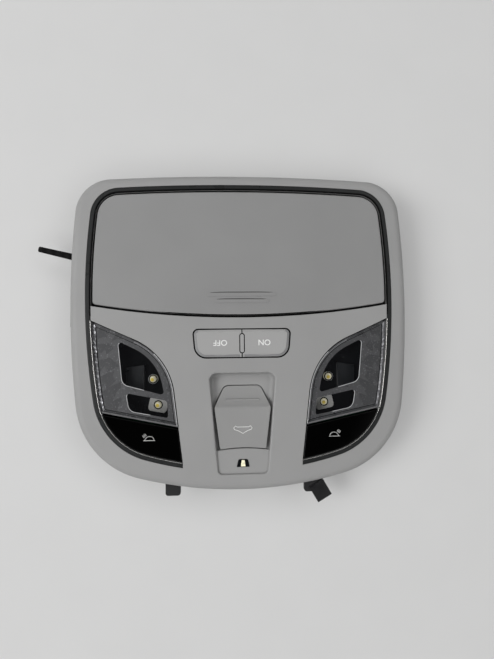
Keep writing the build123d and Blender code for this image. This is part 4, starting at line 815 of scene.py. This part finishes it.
# Harness stub on the route of its solid
line = bpy.data.curves.new("harness_stub", "CURVE")
line.dimensions = "3D"
spline = line.splines.new("NURBS")
spline.points.add(len(CABLE_ROUTE) - 1)
for point, place, share in zip(spline.points, CABLE_ROUTE, CABLE_TAPER):
    point.co = (*(c * MM for c in place), 1.0)
    point.radius = share
spline.order_u = 3
spline.use_endpoint_u = True
line.bevel_depth = CABLE_RADIUS * MM
line.bevel_resolution = 6
line.use_fill_caps = True
stub = bpy.data.objects.new("harness_stub", line)
bpy.context.scene.collection.objects.link(stub)
line.materials.append(TAPE)
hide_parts("harness_cable")
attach(stub, "console")

# Table, light and camera
TABLE_SIZE = 6.0
TABLE_COLOR = (0.49, 0.49, 0.487)
TABLE_GLOW = 0.17
bpy.ops.mesh.primitive_plane_add(size=TABLE_SIZE, location=(0, 0, 0))
table = bpy.context.object
table.name = "table"
TABLE_TOP = moulded("table_top", TABLE_COLOR, rough=0.7, grain=900.0, strength=0.03, spread=0.01)
table_shader = TABLE_TOP.node_tree.nodes["Principled BSDF"]
table_shader.inputs["Emission Color"].default_value = (1.0, 1.0, 1.0, 1.0)
table_shader.inputs["Emission Strength"].default_value = TABLE_GLOW
table.data.materials.append(TABLE_TOP)

# Brightness of the sky by the height of a direction: a ring of light round a dark zenith
HORIZON = 0.35
SKY_BANDS = ((0.18, HORIZON), (0.35, 0.02), (0.6, 0.02), (0.73, 1.0), (0.84, 1.0), (0.92, 0.0))
SKY_STRENGTH = 1.68
world = bpy.data.worlds.new("studio")
bpy.context.scene.world = world
world.use_nodes = True
sky = world.node_tree
sky_coords = sky.nodes.new("ShaderNodeTexCoord")
sky_split = sky.nodes.new("ShaderNodeSeparateXYZ")
sky_ramp = sky.nodes.new("ShaderNodeValToRGB")
sky_stops = sky_ramp.color_ramp.elements
sky_stops[0].color = (HORIZON, HORIZON, HORIZON, 1.0)
sky_stops[-1].color = (0.0, 0.0, 0.0, 1.0)
for height, level in SKY_BANDS:
    sky_stops.new(height).color = (level, level, level, 1.0)
sky.links.new(sky_coords.outputs["Generated"], sky_split.inputs["Vector"])
sky.links.new(sky_split.outputs["Z"], sky_ramp.inputs["Fac"])
sky.links.new(sky_ramp.outputs["Color"], sky.nodes["Background"].inputs["Color"])
sky.nodes["Background"].inputs["Strength"].default_value = SKY_STRENGTH


def softbox(name, place, target, size, power):
    """A soft area light aimed at a point."""
    data = bpy.data.lights.new(name, "AREA")
    data.shape = "RECTANGLE"
    data.size, data.size_y = size
    data.energy = power
    lamp = bpy.data.objects.new(name, data)
    bpy.context.scene.collection.objects.link(lamp)
    lamp.location = place
    lamp.rotation_euler = (Vector(target) - Vector(place)).to_track_quat("-Z", "Y").to_euler()


softbox("window_left", place=(-1.75, -0.1, 1.9), target=(0, 0, 0.03), size=(1.2, 1.2), power=29.0)
bpy.context.scene.view_settings.view_transform = "Standard"

IMAGE_HEIGHT = 659
FOCAL_PIXELS = 550
SENSOR = 36.0
CAMERA_STEP = 0.015
CAMERA_RISE = 0.394
CAMERA_POSE = Matrix(
    (
        (0.99703, 0.00992, -0.07637, -0.0265),
        (-0.01289, 0.99918, -0.03845, -0.008),
        (0.07593, 0.03932, 0.99634, 0.440),
        (0.0, 0.0, 0.0, 1.0),
    )
)
camera_data = bpy.data.cameras.new("camera")
camera_data.sensor_width = SENSOR
camera_data.lens = FOCAL_PIXELS * SENSOR / IMAGE_HEIGHT
camera_data.shift_x = -CAMERA_STEP * FOCAL_PIXELS / CAMERA_RISE / IMAGE_HEIGHT
camera = bpy.data.objects.new("camera", camera_data)
bpy.context.scene.collection.objects.link(camera)
camera.matrix_world = CAMERA_POSE
camera.location += camera.matrix_world.to_3x3() @ Vector((CAMERA_STEP, 0, 0))
bpy.context.scene.camera = camera
